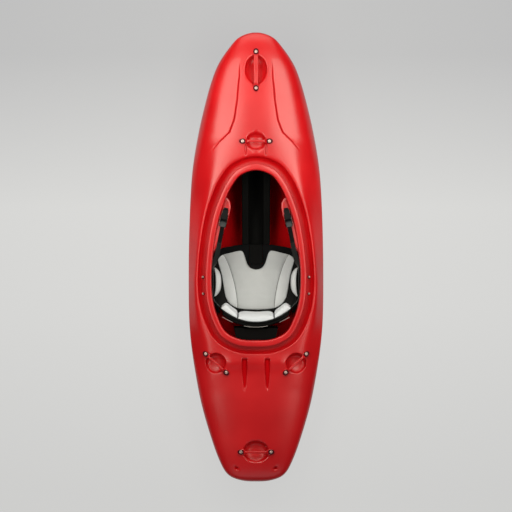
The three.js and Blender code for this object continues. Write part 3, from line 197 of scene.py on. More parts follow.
polyethylene = makePolyethylene("rotomouldedPolyethylene", "B4040C", "BC060E", "C60B12")
# the hull's inside: the same red moulding, matte, with its darker red as painted shade
innerRedPaintedShade = makePolyethylene("matteInnerRedPaintedShade", "A00007", "A80209", "B2040B", 0.7, 0.03)
handlePlastic = makePolyethylene("mouldedHandlePlastic", "AE050C", "B8080F", "C20E13")
blackPlastic = makeMoulded("mouldedBlackPolypropylene", "050506", 0.5, 0.1)
greyPlastic = makeMoulded("mouldedGreyNylon", "6C7074", 0.45)
blackFoam = makeFoam("closedCellFoam", "050505")
greyCloth = makeCloth("greyKnitCloth", "B6B8BB", "ACAEB1")
whiteCloth = makeCloth("whiteKnitCloth", "CCCFD6", "C2C5CC")
# pale cloth of the hip pads; on the seat cushion's outer panels the same paler cloth is painted light
paleClothAndPaintedLight = makeCloth("paleKnitClothAndPaintedLight", "D0D2D6", "C6C8CC")
# the steel's pink-beige tint is a painted red reflection of the hull
steel = makeSteel("turnedSteelPaintedRedReflection", "C4A9A2")
darkNylon = makeMoulded("mouldedDarkNylon", "202224", 0.4, 0.3)
greyPiping = makeCloth("greyPiping", "B8B2B0", "A09A98", 1.0)
# black nylon washers drawn maroon: painted shade of the recesses round them, and a painted red reflection
washerNylonPaintedShade = makeMoulded("blackNylonPaintedRedShade", "3E0410", 0.7, 0.1)
webbing = makeCloth("blackPolyesterWebbing", "101112", "070808", 1.6)
seamThread = makeCloth("greySeamThread", "5A5B5A", "4A4B4A", 1.2)
print("materials made")


# mesh helpers: a piece starts from a bmesh operator's grid, turn or copy and is shaped in place

def camel(nodeName):
    first, *others = nodeName.split("_")
    return first + "".join(part.capitalize() for part in others)


def pointsOf(mesh):
    flat = np.empty(len(mesh.vertices) * 3)
    mesh.vertices.foreach_get("co", flat)
    return flat.reshape(-1, 3)


def addPiece(name, bm, material, body, smooth=True):
    mesh = bpy.data.meshes.new(name)
    bm.to_mesh(mesh)
    bm.free()
    mesh.materials.append(material)
    mesh.polygons.foreach_set("use_smooth", [smooth] * len(mesh.polygons))
    piece = bpy.data.objects.new(name, mesh)
    bpy.context.scene.collection.objects.link(piece)
    if body:
        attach(piece, body)
    return piece


def unitGrid(columns, rows):
    # a flat grid over 0 to 1 both ways, to be bent into a surface
    bm = bmesh.new()
    bmesh.ops.create_grid(bm, x_segments=columns, y_segments=rows, size=0.5)
    bmesh.ops.translate(bm, vec=(0.5, 0.5, 0), verts=bm.verts)
    return bm


def flatPoints(bm):
    return np.array([vert.co for vert in bm.verts])


def bend(bm, place, weld=0.02 * mm):
    # place takes the grid's u and v and gives points in millimetres
    flat = flatPoints(bm)
    for vert, point in zip(bm.verts, place(flat[:, 0], flat[:, 1]) * mm):
        vert.co = point
    bmesh.ops.remove_doubles(bm, verts=bm.verts, dist=weld)
    bmesh.ops.dissolve_degenerate(bm, edges=bm.edges, dist=weld / 2)
    bmesh.ops.recalc_face_normals(bm, faces=bm.faces)
    return bm


def smoothStep(t):
    t = np.clip(t, 0, 1)
    return t * t * (3 - 2 * t)


def mix(a, b, share):
    return a + (b - a) * share


def squircle(v, power, otherPower=None):
    # once round a ring with squared corners
    c, s = np.cos(2 * pi * v), np.sin(2 * pi * v)
    return np.sign(c) * np.abs(c) ** power, np.sign(s) * np.abs(s) ** (otherPower or power)


def between(u):
    # 0 at a tube's two ends, which closes them, and 1 between
    return np.where((u < 1e-6) | (u > 1 - 1e-6), 0.0, 1.0)


def fromTable(table, at):
    table = np.array(table)
    return np.interp(at, table[:, 0], table[:, 1])


# hull form, in millimetres

hull = {"length": 2215, "beam": 665, "depth": 338, "wall": 6, "creaseDepth": 12, "creaseSide": 0.045,
        "columns": 440, "deckRows": 64, "edgeRows": 12, "edgeShare": 0.93, "shoulder": 22, "moatWall": 34}
rim = {"rearX": -430, "length": 890, "halfWidth": 248, "rearTop": 270, "frontTop": 352, "sag": 12}
# share of length, of half beam, then keel, seam and deck as shares of depth
stationShares = np.array([
    [0, 0, 0.444, 0.444, 0.444], [0.0036, 0.24, 0.385, 0.448, 0.5], [0.0171, 0.426, 0.335, 0.45, 0.545],
    [0.05, 0.553, 0.265, 0.45, 0.582], [0.107, 0.688, 0.195, 0.448, 0.612], [0.179, 0.823, 0.117, 0.447, 0.642],
    [0.25, 0.911, 0.053, 0.447, 0.676], [0.322, 0.975, 0.011, 0.45, 0.722], [0.39, 1, 0, 0.457, 0.767],
    [0.5, 1, 0, 0.473, 0.837], [0.6, 0.982, 0, 0.497, 0.902], [0.68, 0.952, 0.024, 0.521, 0.959],
    [0.735, 0.907, 0.064, 0.545, 0.993], [0.79, 0.84, 0.117, 0.575, 0.999], [0.84, 0.761, 0.184, 0.609, 0.982],
    [0.89, 0.667, 0.277, 0.658, 0.955], [0.93, 0.56, 0.375, 0.707, 0.932], [0.965, 0.402, 0.486, 0.755, 0.905],
    [0.99, 0.238, 0.612, 0.789, 0.862], [1, 0, 0.793, 0.793, 0.793]])
# the bottom's section: share of the half beam and of the height from keel to seam
bottomShares = np.array([[1, 1], [0.975, 0.85], [0.9, 0.55], [0.75, 0.11], [0.7, 0.04], [0.5, 0], [0, 0]])
# the bow's crease: share of length and of half beam
creaseLine = [[0, 0.6], [0.7, 0.76], [0.74, 0.73], [0.757, 0.63], [0.778, 0.48], [0.805, 0.415], [0.85, 0.395],
              [0.9, 0.4], [0.93, 0.44], [1, 0.5]]
# how deep the side of the deck drops below its crease, along the boat
creaseDepth = [[0, 0], [0.738, 0], [0.765, 0.7], [0.8, 1], [0.86, 0.9], [0.9, 0.5], [0.94, 0], [1, 0]]
# how square the deck's section is, along the boat
fullness = [[0, 2.8], [0.2, 3], [0.3, 3.8], [0.45, 4.6], [0.6, 4.2], [0.78, 2.7], [1, 2.4]]
# the ridge beside the cockpit: x and distance from the centreline, and how strongly it shows
ridgeLine = [[-560, 236], [-428, 256], [-380, 268], [-316, 285], [-233, 298], [-117, 303], [19, 290], [116, 279],
             [277, 256], [400, 232], [520, 205]]
ridgeStrength = [[-640, 0], [-470, 0.8], [-380, 1], [250, 1], [400, 0.7], [600, 0]]
flank = {"ridge": 0.9, "foot": 0.46, "footShare": 0.985, "least": 20, "round": 0.14, "square": 7}
# the deck rises a little behind the cockpit
hump = {"x": -506, "reach": 36, "rise": 9, "half": 115, "fade": 80}
# the cockpit's outline: share of its length from the rear, and of its half width
rimShares = np.array([[0, 0], [0.01, 0.375], [0.057, 0.681], [0.146, 0.863], [0.246, 0.968], [0.38, 1],
                      [0.538, 0.958], [0.696, 0.859], [0.827, 0.702], [0.907, 0.556], [0.967, 0.371], [1, 0]])


def hermite(a, b, slopeA, slopeB, u):
    return (a * (2 * u ** 3 - 3 * u ** 2 + 1) + slopeA * (u ** 3 - 2 * u ** 2 + u)
            + b * (3 * u ** 2 - 2 * u ** 3) + slopeB * (u ** 3 - u ** 2))


def throughPoints(points, steps, alpha):
    # a curve through all points but the first and last; alpha 0 is uniform, 0.25 is centripetal
    parts = []
    for p, a, b, n in zip(points, points[1:], points[2:], points[3:]):
        before, here, after = [max(((e - s) ** 2).sum() ** alpha, 1e-4) for s, e in ((p, a), (a, b), (b, n))]
        slopeA = ((a - p) / before - (b - p) / (before + here) + (b - a) / here) * here
        slopeB = ((b - a) / here - (n - a) / (here + after) + (n - b) / after) * here
        parts += [hermite(a, b, slopeA, slopeB, i / steps) for i in range(steps)]
    return np.array(parts + [points[-2]])


def extended(points):
    return [2 * points[0] - points[1], *points, 2 * points[-1] - points[-2]]


def reachOf(points):
    # share of a line's length at each of its points
    reach = np.concatenate([[0], np.cumsum(np.sqrt((np.diff(points, axis=0) ** 2).sum(1)))])
    return reach / reach[-1]


def unit(vectors):
    return vectors / np.sqrt((vectors ** 2).sum(1))[:, None]


def pastTip(row):
    length, beam, keel, seam, deck = row
    return np.array([length, -beam, deck, seam, keel])


stationLine = throughPoints([pastTip(stationShares[1]), *stationShares, pastTip(stationShares[-2])], 60, 0)
lengthShare = np.maximum.accumulate(stationLine[:, 0])
stationX = hull["length"] * (lengthShare - 0.5)
halfLine = np.maximum(stationLine[:, 1] * (hull["beam"] / 2), 0)
keelLine, seamLine, deckLine = [hull["depth"] * stationLine[:, i] for i in (2, 3, 4)]
keelLine = np.maximum(keelLine, 0)


def halfAt(x):
    return np.interp(x, stationX, halfLine)


def deckSurface(x, y, inset=0.0):
    # height of the moulded deck, before its recesses
    share = x / hull["length"] + 0.5
    half = np.maximum(halfAt(x) - inset, 1e-6)
    v = np.clip(np.abs(y) / half, 0, 1)
    square = fromTable(fullness, share)
    line = fromTable(creaseLine, share)
    inner = smoothStep((v - line + hull["creaseSide"]) / hull["creaseSide"])
    outer = 1 - smoothStep((v - line) / (1 - line))
    drop = hull["creaseDepth"] * fromTable(creaseDepth, share) * inner * outer
    seam = np.interp(x, stationX, seamLine)
    deck = np.interp(x, stationX, deckLine) - inset
    crown = (1 - v ** square) ** (1 / square)
    strength = fromTable(ridgeStrength, x)
    ridge = fromTable(ridgeLine, x)
    wide = np.maximum(half * flank["footShare"] - ridge, flank["least"])
    slope = mix(flank["ridge"], flank["foot"], (np.abs(y) - ridge) / wide)
    boxy = (1 - v ** flank["square"]) ** (1 / flank["square"])
    ridged = (boxy + slope - np.sqrt((boxy - slope) ** 2 + flank["round"] ** 2)) / 2
    raised = hump["rise"] * np.exp(-((x - hump["x"]) / hump["reach"]) ** 2)
    raised = raised * (1 - smoothStep((np.abs(y) - hump["half"]) / hump["fade"])) * (inset == 0)
    return seam + (deck - seam) * mix(crown, np.maximum(ridged, 0), strength) - drop + raised


rimPoints = np.array([[rim["rearX"] + rim["length"] * a, rim["halfWidth"] * b] for a, b in rimShares])
mirrorRim = rimPoints * [1, -1]
rimLine = throughPoints([mirrorRim[1], *rimPoints, mirrorRim[-2]], 60, 0.25)
rimReach = reachOf(rimLine)
rimOut = np.gradient(rimLine, axis=0)[:, ::-1] * [-1, 1]
rimOut[0], rimOut[-1] = (-1, 0), (1, 0)
rimOut = unit(rimOut)
edgeReach = reachOf(np.column_stack([stationX, halfLine]))


def rimTop(x):
    share = (x - rim["rearX"]) / rim["length"]
    return mix(rim["rearTop"], rim["frontTop"], share) - 4 * rim["sag"] * share * (1 - share)


# handle places, the span between their screws, heading and bar, then the recess's length, width and depth
handlePlaces = {name: dict(zip(("x", "y", "span", "heading", "bar", "recess"), row)) for name, row in {
    "bow_handle": (917, 0, 180, 0, 22, (148, 106, 44)), "front_deck_handle": (570, 0, 130, 90, 13, (96, 82, 40)),
    "side_handle_left": (-513, 197, 136, 48, 10, (98, 98, 42)),
    "side_handle_right": (-513, -197, 136, -48, 10, (98, 98, 42)),
    "stern_handle": (-953, 0, 149, 90, 11, (124, 106, 42))}.items()}
grooves = {"frontX": -493, "length": 160, "offset": 56, "half": 13.5, "depth": 28}
wedges = {"frontX": 556, "length": 72, "offset": 49, "half": 6, "depth": 12}
dimples = {"x": -1036, "offset": 96, "radius": 7.5, "depth": 15}
creaseCut = {"depth": 3.2, "half": 2.8}
creaseSharp = [[0, 0], [0.736, 0], [0.745, 0.55], [0.765, 0.9], [0.8, 1], [0.848, 0.9], [0.868, 0.3], [0.885, 0],
               [1, 0]]
bowl = {"body": 0.72, "steep": 3.2, "root": 0.75, "outer": 1.045, "rounding": 0.16, "low": 0.77, "power": 2.1,
        "bowPower": 1.75}
cutForm = {"narrowing": 1.9, "root": 0.8, "steep": 2.6, "wall": 0.6, "rising": 2.2, "end": 6, "narrowest": 0.4}
# how near to a dimple, a recess's edge, a cut and the crease the grid is split once more
detail = {"dimple": 16, "ring": (0.865, 0.315), "ahead": 12, "behind": 6, "beside": 5, "crease": (-5, 17)}


def recessShare(place, x, y):
    # 0 at the recess's middle, 1 on its edge
    a = radians(place["heading"])
    along = (x - place["x"]) * cos(a) + (y - place["y"]) * sin(a)
    across = (y - place["y"]) * cos(a) - (x - place["x"]) * sin(a)
    length, width = place["recess"][0] / 2, place["recess"][1] / 2
    # the bow's recess comes nearer to a point at its rear
    pointed = np.where((along < 0) & (place["heading"] == 0), bowl["bowPower"], bowl["power"])
    return (np.abs(along / length) ** pointed + np.abs(across / width) ** pointed) ** (1 / pointed)


def bowlShare(r):
    # a bowl with an upright wall near its edge, and the edge rounded over
    body = 1 - np.clip(r, 0, 1) ** bowl["steep"]
    edge = smoothStep((bowl["outer"] - r) / bowl["rounding"])
    return body ** bowl["root"] * bowl["body"] + edge * (1 - bowl["body"])


def carved(x, y):
    # how far the recesses, grooves and dimples go below the deck
    depth = np.zeros_like(x)
    for place in handlePlaces.values():
        ahead = np.clip((x - place["x"]) / place["recess"][1] * 2, -1, 1)
        floor = bowl["low"] + (1 - bowl["low"]) * ahead   # it rises toward the stern
        depth = np.maximum(depth, place["recess"][2] * floor * bowlShare(recessShare(place, x, y)))
    for cut in (grooves, wedges):
        t = (cut["frontX"] - x) / cut["length"]
        run = np.clip(t, 0, 1)
        half = np.maximum(cut["half"] * (1 - run ** cutForm["narrowing"]) ** cutForm["root"], cutForm["narrowest"])
        across = np.abs(np.abs(y) - cut["offset"])
        inside = np.clip(1 - (across / half) ** cutForm["steep"], 0, 1) ** cutForm["wall"]
        ends = smoothStep(t * cut["length"] / cutForm["end"] + 0.5) * (t < 1)
        depth = np.maximum(depth, cut["depth"] * inside * ends * (1 - run ** cutForm["rising"]))
    r = np.hypot(x - dimples["x"], np.abs(y) - dimples["offset"]) / dimples["radius"]
    depth = np.maximum(depth, dimples["depth"] * np.clip(1 - r ** 2, 0, 1) ** 0.4)
    share = x / hull["length"] + 0.5
    fromCrease = (fromTable(creaseLine, share) - hull["creaseSide"] / 2) * halfAt(x) - np.abs(y)
    return depth + creaseCut["depth"] * fromTable(creaseSharp, share) * np.exp(-(fromCrease / creaseCut["half"]) ** 2)


def needsDetail(x, y):
    near = np.hypot(x - dimples["x"], np.abs(y) - dimples["offset"]) < detail["dimple"]
    middle, reach = detail["ring"]
    for place in handlePlaces.values():
        near |= np.abs(recessShare(place, x, y) - middle) < reach
    for cut in (grooves, wedges):
        near |= ((x < cut["frontX"] + detail["ahead"]) & (x > cut["frontX"] - cut["length"] - detail["behind"])
                 & (np.abs(np.abs(y) - cut["offset"]) < cut["half"] + detail["beside"]))
    share = x / hull["length"] + 0.5
    fromCrease = (fromTable(creaseLine, share) - np.abs(y) / np.maximum(halfAt(x), 1)) * halfAt(x)
    low, high = detail["crease"]
    return near | (fromTable(creaseDepth, share) > 0.05) & (fromCrease > low) & (fromCrease < high)


# the moulding's section round the cockpit: distance out from the lip's edge, and height from its top
underMoat = [(46, -44), (41, -44), (37, -51.5), (28, -54.8), (0, -54.8), (-20, -54.8), (-28.5, -54)]
lipSection = [(-30, -52), (-30, -30), (-30, -7), (-29.5, -3.4), (-27.8, -1.2), (-25.2, -0.2), (-21, 0.2), (-14, 0.5),
              (-8, 0.3), (-4, -0.4), (-1.5, -1.8), (-0.2, -3.6), (0, -5.4), (-0.6, -7.2), (-2.4, -8.7), (-5.5, -9.2),
              (-11, -9.4), (-18, -9.6), (-21.6, -10.6), (-23.5, -13), (-24, -17), (-24, -26), (-24, -35), (-24, -42),
              (-23.2, -45.6), (-20.8, -48), (-17, -49), (-8, -49.3), (3, -49.3), (12, -49), (18, -48.2),
              (22.5, -46.4), (26.5, -43)]
# one ring of the hull runs from the keel inside, over the seam and the lip, back to the keel outside
shell = {"rows": [7, 4, 9, len(underMoat) - 1, 1, len(lipSection) - 1, 8, hull["deckRows"], hull["edgeRows"], 13],
         "columnStops": [0, 0.26, 0.72, 1], "rimStops": [-380, 388], "edgeStops": [-580, 590], "inset": 0.987,
         "recessBack": 6, "recessReach": 1.9, "recessFade": 0.7, "deckCrowding": 1.2, "sideShare": 0.7,
         "sideCrowding": 1.8, "sideEnd": 0.9985, "bottomCrowding": 0.9}


def alongTable(points, t, column):
    return np.interp(t * (len(points) - 1), range(len(points)), [point[column] for point in points])


def makeHull():
    rimStops = [0, *np.interp(shell["rimStops"], rimLine[:, 0], rimReach), 1]
    edgeStops = [0, *np.interp(shell["edgeStops"], stationX, edgeReach), 1]
    rows = np.array(shell["rows"])
    starts = np.concatenate([[0], np.cumsum(rows)])
    total = starts[-1]
    bottomLine = throughPoints(extended(bottomShares), 10, 0.25)
    bottomLine[:, 1] = np.maximum(bottomLine[:, 1], 0)
    bottomReach = np.linspace(0, 1, len(bottomLine)) ** shell["bottomCrowding"]

    def place(u, w):
        side = np.where(u <= 0.5, 1.0, -1.0)
        column = np.clip(2 * np.minimum(u, 1 - u), 0, 1)
        h = np.interp(column, shell["columnStops"], rimStops)
        g = np.interp(column, shell["columnStops"], edgeStops)
        rimX, rimY = [np.interp(h, rimReach, rimLine[:, i]) for i in (0, 1)]
        outX, outY = [np.interp(h, rimReach, rimOut[:, i]) for i in (0, 1)]
        top = rimTop(rimX)
        edgeX = np.interp(g, edgeReach, stationX)
        edgeHalf = np.interp(g, edgeReach, halfLine)
        row = w * total
        stage = np.clip(np.searchsorted(starts, row, side="right") - 1, 0, len(rows) - 1)
        t = (row - starts[stage]) / rows[stage]
        x, y, z = np.zeros((3, len(u)))

        def put(number, *points):
            here = stage == number
            for whole, part in zip((x, y, z), points):
                whole[here] = part[here]

        def fromRim(out):
            return rimX + outX * out, rimY + outY * out

        def bottom(share, atX, half, wall):
            keel, seam = np.interp(atX, stationX, keelLine) + wall, np.interp(atX, stationX, seamLine)
            across, up = [np.interp(share, bottomReach, bottomLine[:, i]) for i in (0, 1)]
            return atX, half * across, mix(keel, seam, up)

        # inside: from the keel out to the seam, round the edge, and under the deck in to the groove's wall
        innerX = edgeX * shell["inset"]
        innerHalf = np.maximum(halfAt(innerX) - hull["wall"], 0)
        put(0, *bottom(1 - t, innerX, innerHalf, hull["wall"]))
        square = fromTable(fullness, edgeX / hull["length"] + 0.5)
        level = (1 - hull["edgeShare"] ** square) ** (1 / square)
        roundY = innerHalf * (1 - (level * t) ** square) ** (1 / square)
        put(1, innerX, roundY, deckSurface(innerX, roundY, hull["wall"]))
        backX, backY = fromRim(underMoat[0][0])
        s = smoothStep(t) * 0.3 + t * 0.7
        underX, underY = mix(innerX, backX, s), mix(innerHalf * hull["edgeShare"], backY, s)
        low = np.zeros_like(u)
        for handle in handlePlaces.values():
            near = smoothStep((shell["recessReach"] - recessShare(handle, underX, underY * side)) / shell["recessFade"])
            low = np.maximum(low, (handle["recess"][2] + shell["recessBack"]) * near)
        put(2, underX, underY, deckSurface(underX, underY, hull["wall"]) - low)
        # under the groove, up the neck, over the lip and through the groove
        k = t * (len(underMoat) - 1)
        under = np.where(k < 1, mix(deckSurface(backX, backY, hull["wall"]), top + underMoat[0][1], k),
                         top + alongTable(underMoat, t, 1))
        put(3, *fromRim(alongTable(underMoat, t, 0)), under)
        joint = [underMoat[-1], lipSection[0]]
        put(4, *fromRim(alongTable(joint, t, 0)), top + alongTable(joint, t, 1))
        put(5, *fromRim(alongTable(lipSection, t, 0)), top + alongTable(lipSection, t, 1))
        # the groove's outer wall, rolled over into the deck
        grooveEnd, grooveLow = lipSection[-1]
        rise = deckSurface(*fromRim(hull["moatWall"])) - (top + grooveLow)
        fillet = np.minimum(hull["shoulder"], 0.7 * rise)
        k = t * rows[6]
        angle = np.clip((k - 1) / (rows[6] - 1), 0, 1) * pi / 2
        outward = fromRim(np.where(k < 1, mix(grooveEnd, hull["moatWall"], k),
                                   hull["moatWall"] + fillet * (1 - np.cos(angle))))
        onDeck = deckSurface(*outward) - fillet * (1 - np.sin(angle))
        put(6, *outward, np.where(k < 1, mix(top + grooveLow, onDeck, k), onDeck))
        # the deck, then out to the side, down it to the seam, and the bottom
        startX, startY = fromRim(hull["moatWall"] + fillet)
        s = 1 - (1 - t) ** shell["deckCrowding"]
        deckX, deckY = mix(startX, edgeX, s), mix(startY, edgeHalf * hull["edgeShare"], s)
        put(7, deckX, deckY, deckSurface(deckX, deckY) - carved(deckX, deckY * side))
        out = np.clip(t / shell["sideShare"], 0, 1)
        fall = np.clip((t - shell["sideShare"]) / (1 - shell["sideShare"]), 0, 1)
        v = mix(hull["edgeShare"], shell["sideEnd"], 1 - (1 - out) ** shell["sideCrowding"])
        put(8, edgeX, edgeHalf * mix(v, 1, fall),
            mix(deckSurface(edgeX, edgeHalf * v), np.interp(edgeX, stationX, seamLine), fall))
        put(9, *bottom(t, edgeX, edgeHalf, 0))
        y[(column < 1e-6) | (column > 1 - 1e-6)] = 0
        return np.column_stack([x, y * side, z])

    bm = unitGrid(hull["columns"], total)
    flat = flatPoints(bm)
    points = place(flat[:, 0], flat[:, 1])
    onDeck = (flat[:, 1] * total > starts[7] - 0.5) & (flat[:, 1] * total < starts[8] - 0.5)
    fine = onDeck & needsDetail(points[:, 0], points[:, 1])
    bm.verts.ensure_lookup_table()
    # faces inside the hull take the darker inner red, which is painted shade
    for face in bm.faces:
        face.material_index = int(face.calc_center_median().y * total < starts[4])
    chosen = [edge for edge in bm.edges if fine[edge.verts[0].index] and fine[edge.verts[1].index]]
    bmesh.ops.subdivide_edges(bm, edges=chosen, cuts=1, use_grid_fill=True)
    bend(bm, place, 0.01 * mm)
    piece = addPiece("hullMoulding", bm, polyethylene, "hull")
    piece.data.materials.append(innerRedPaintedShade)
    return piece


hullPiece = makeHull()
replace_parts(hullPiece, "hull_shell")
print("hull made")


# thigh hooks: lips of the same moulding that reach in from the neck over the thighs
hooks = {"rearX": 34, "frontX": 300, "reach": 46, "top": 288, "thickness": 8, "lip": 20, "neck": 30}
hookReach = [[34, 0], [48, 0.2], [70, 0.46], [92, 0.64], [130, 0.84], [175, 0.97], [215, 1], [250, 0.9], [275, 0.66],
             [292, 0.3], [300, 0]]


def neckAt(x):
    neck = rimLine - rimOut * hooks["neck"]
    return np.interp(x, neck[:, 0], neck[:, 1])


def makeHook(side, name):
    def place(u, v):
        x = mix(hooks["rearX"], hooks["frontX"], u)
        edge = neckAt(x)
        reach = hooks["reach"] * fromTable(hookReach, x)
        outer, inner, top, thick = edge + 4, edge - reach, hooks["top"], hooks["thickness"]
        low = top - thick - hooks["lip"] * reach / hooks["reach"]
        wall = np.minimum(inner + thick * 0.8, outer - 1)
        ring = [(outer, top), (mix(inner, outer, 0.5), top + 0.6), (inner + thick, top), (inner + 2.5, top - 1),
                (inner + 0.6, top - 3.5), (inner, top - thick), (inner, low + 2), (inner + 1.2, low + 0.4),
                (mix(inner, wall, 0.6), low), (wall, low + 1.6), (wall, top - thick - 3), (wall + 1.5, top - thick),
                (mix(wall, outer, 0.5), top - thick), (outer, top - thick), (outer, top)]
        k = v * (len(ring) - 1)
        below = np.minimum(k.astype(int), len(ring) - 2)
        index = np.arange(len(u))
        y, z = [mix(table[below, index], table[below + 1, index], k - below) for table in
                (np.array([np.broadcast_to(point[i], u.shape) for point in ring]) for i in (0, 1))]
        return np.column_stack([x, side * y, z])

    return addPiece(name, bend(unitGrid(64, 42), place), polyethylene, "hull")


for side, word in sides:
    makeHook(side, camel("thigh_hook_" + word))
print("hooks made")


# handles and their screws
handle = {"foot": 28, "footWidth": 27, "neck": 16, "neckStart": 10, "footHeight": 7, "sink": 4, "bar": 11, "lift": 6,
          "footRound": 0.45, "square": 0.62}
screwHead = {"washer": 12.4, "washerTop": 1.8, "head": 7.8, "height": 2.8, "socket": 2.2, "tail": 14, "drawnOut": 1.3}
boltHead = {"washer": 9.2, "washerTop": 1.5, "head": 5.6, "height": 3.0, "socket": 2.2, "tail": 18, "drawnOut": 1.0}
bolts = {"rearX": -171, "frontX": -89, "offset": 261, "below": 49.9}


def handleFrame(place):
    a = radians(place["heading"])
    ends = np.array([-1, 1]) * place["span"] / 2
    x, y = place["x"] + ends * cos(a), place["y"] + ends * sin(a)
    feet = [Vector(foot) for foot in np.column_stack([x, y, deckSurface(x, y)])]
    line = (feet[1] - feet[0]).normalized()
    across = Vector((0, 0, 1)).cross(line).normalized()
    up = line.cross(across)
    frameMatrix = Matrix((line, across, up)).transposed().to_4x4()
    frameMatrix.translation = (feet[0] + feet[1]) / 2 * mm
    return frameMatrix


def makeHandle(name, place):
    reach = place["span"] / 2 + handle["foot"] / 2

    def shape(u, v):
        x = mix(-reach, reach, u)
        inBar = smoothStep((place["span"] / 2 - handle["neckStart"] - np.abs(x)) / handle["neck"])
        fromEnd = np.clip((reach - np.abs(x)) / (handle["foot"] * handle["footRound"]), 0, 1)
        rounding = np.sqrt(np.clip(1 - (1 - fromEnd) ** 2, 0, 1))
        half = mix(handle["footWidth"], place["bar"], inBar) / 2 * rounding
        low = mix(-handle["sink"], handle["lift"], inBar)
        high = mix(handle["footHeight"], handle["lift"] + handle["bar"], inBar)
        middle, tall = (low + high) / 2, (high - low) / 2 * mix(0.5, 1, rounding) * (rounding > 0)
        c, s = squircle(v, handle["square"])
        return np.column_stack([x, half * c, middle + tall * s])

    bm = bend(unitGrid(72, 32), shape)
    bmesh.ops.transform(bm, matrix=handleFrame(place), verts=bm.verts)
    return addPiece(name, bm, handlePlastic, "hull")


def turnedBmesh(profile, steps=40):
    # profile points are distance from the axis and height, in millimetres
    bm = bmesh.new()
    verts = [bm.verts.new((r * mm, 0, z * mm)) for r, z in profile]
    edges = [bm.edges.new(pair) for pair in zip(verts, verts[1:])]
    bmesh.ops.spin(bm, geom=verts + edges, cent=(0, 0, 0), axis=(0, 0, 1), angle=2 * pi, steps=steps, use_merge=True)
    bmesh.ops.remove_doubles(bm, verts=bm.verts, dist=0.005 * mm)
    bmesh.ops.recalc_face_normals(bm, faces=bm.faces)
    return bm


def makeFastener(base, form, node):
    # a cup washer, drawn out along the handle, and a screw with a socket in its head; the washer's maroon colour and
    # drawn-out outline are painted shade of the recess round the handle's foot, with a painted red reflection
    washer, top, head, socket = [form[key] for key in ("washer", "washerTop", "head", "socket")]
    cup = turnedBmesh([(0, 0.02), (washer - 0.6, 0), (washer, 0.5), (washer, top * 0.6), (washer - 1.6, top),
                       (head + 0.9, top + 0.2), (head + 0.3, top - 0.3), (0, top - 0.4)])
    bmesh.ops.transform(cup, matrix=base @ Matrix.Diagonal((form["drawnOut"], 1, 1, 1)), verts=cup.verts)
    addPiece(camel(node) + "Washer", cup, washerNylonPaintedShade, "hull")
    low = top - 0.3
    high = low + form["height"]
    screw = turnedBmesh([(0, -form["tail"]), (3.0, -form["tail"]), (3.0, low), (head - 0.5, low), (head, low + 0.5),
                         (head - 0.2, low + 1.6), (head * 0.86, mix(low, high, 0.7)),
                         (head * 0.66, mix(low, high, 0.93)), (socket + 0.5, high), (socket, high - 0.3),
                         (socket * 0.95, high - 2.4), (0, high - 2.6)], 36)
    bmesh.ops.transform(screw, matrix=base, verts=screw.verts)
    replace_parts(addPiece(camel(node), screw, steel, "hull"), node)


for name, place in handlePlaces.items():
    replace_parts(makeHandle(camel(name), place), name)
    for end, number in ((-1, 1), (1, 2)):
        base = handleFrame(place) @ Matrix.Translation((end * place["span"] / 2 * mm, 0, handle["footHeight"] * mm))
        makeFastener(base, screwHead, f"{name}_screw_{number}")
print("handles made")

for side, word in sides:
    for number, x in ((1, bolts["rearX"]), (2, bolts["frontX"])):
        base = Matrix.Translation((x * mm, side * bolts["offset"] * mm, (rimTop(x) - bolts["below"]) * mm))
        makeFastener(base, boltHead, f"seat_bolt_{word}_{number}")
print("seat bolts made")


# rigid outfitting: the frame's solids, merged and with their edges rounded over

def rounded(nodeName, material, slot, radius, segments, angle=28):
    source = frame["nodes"][nodeName]
    bm = bmesh.new()
    bm.from_mesh(source.data)
    bmesh.ops.transform(bm, matrix=source.matrix_world, verts=bm.verts)
    bmesh.ops.remove_doubles(bm, verts=bm.verts, dist=0.01 * mm)
    bmesh.ops.dissolve_limit(bm, angle_limit=radians(1.5), verts=bm.verts, edges=bm.edges)
    sharp = [edge for edge in bm.edges if len(edge.link_faces) == 2 and edge.calc_face_angle(0) > radians(angle)]
    bmesh.ops.bevel(bm, geom=sharp, offset=radius * mm, offset_type="OFFSET", segments=segments, affect="EDGES",
                    profile=0.5, material=-1, clamp_overlap=True)
    piece = addPiece(camel(nodeName), bm, material, source["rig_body"])
    piece.data.set_sharp_from_angle(angle=radians(42))
    weighted = piece.modifiers.new("weightedNormals", "WEIGHTED_NORMAL")
    weighted.keep_sharp = True
    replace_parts(piece, nodeName)
    return piece


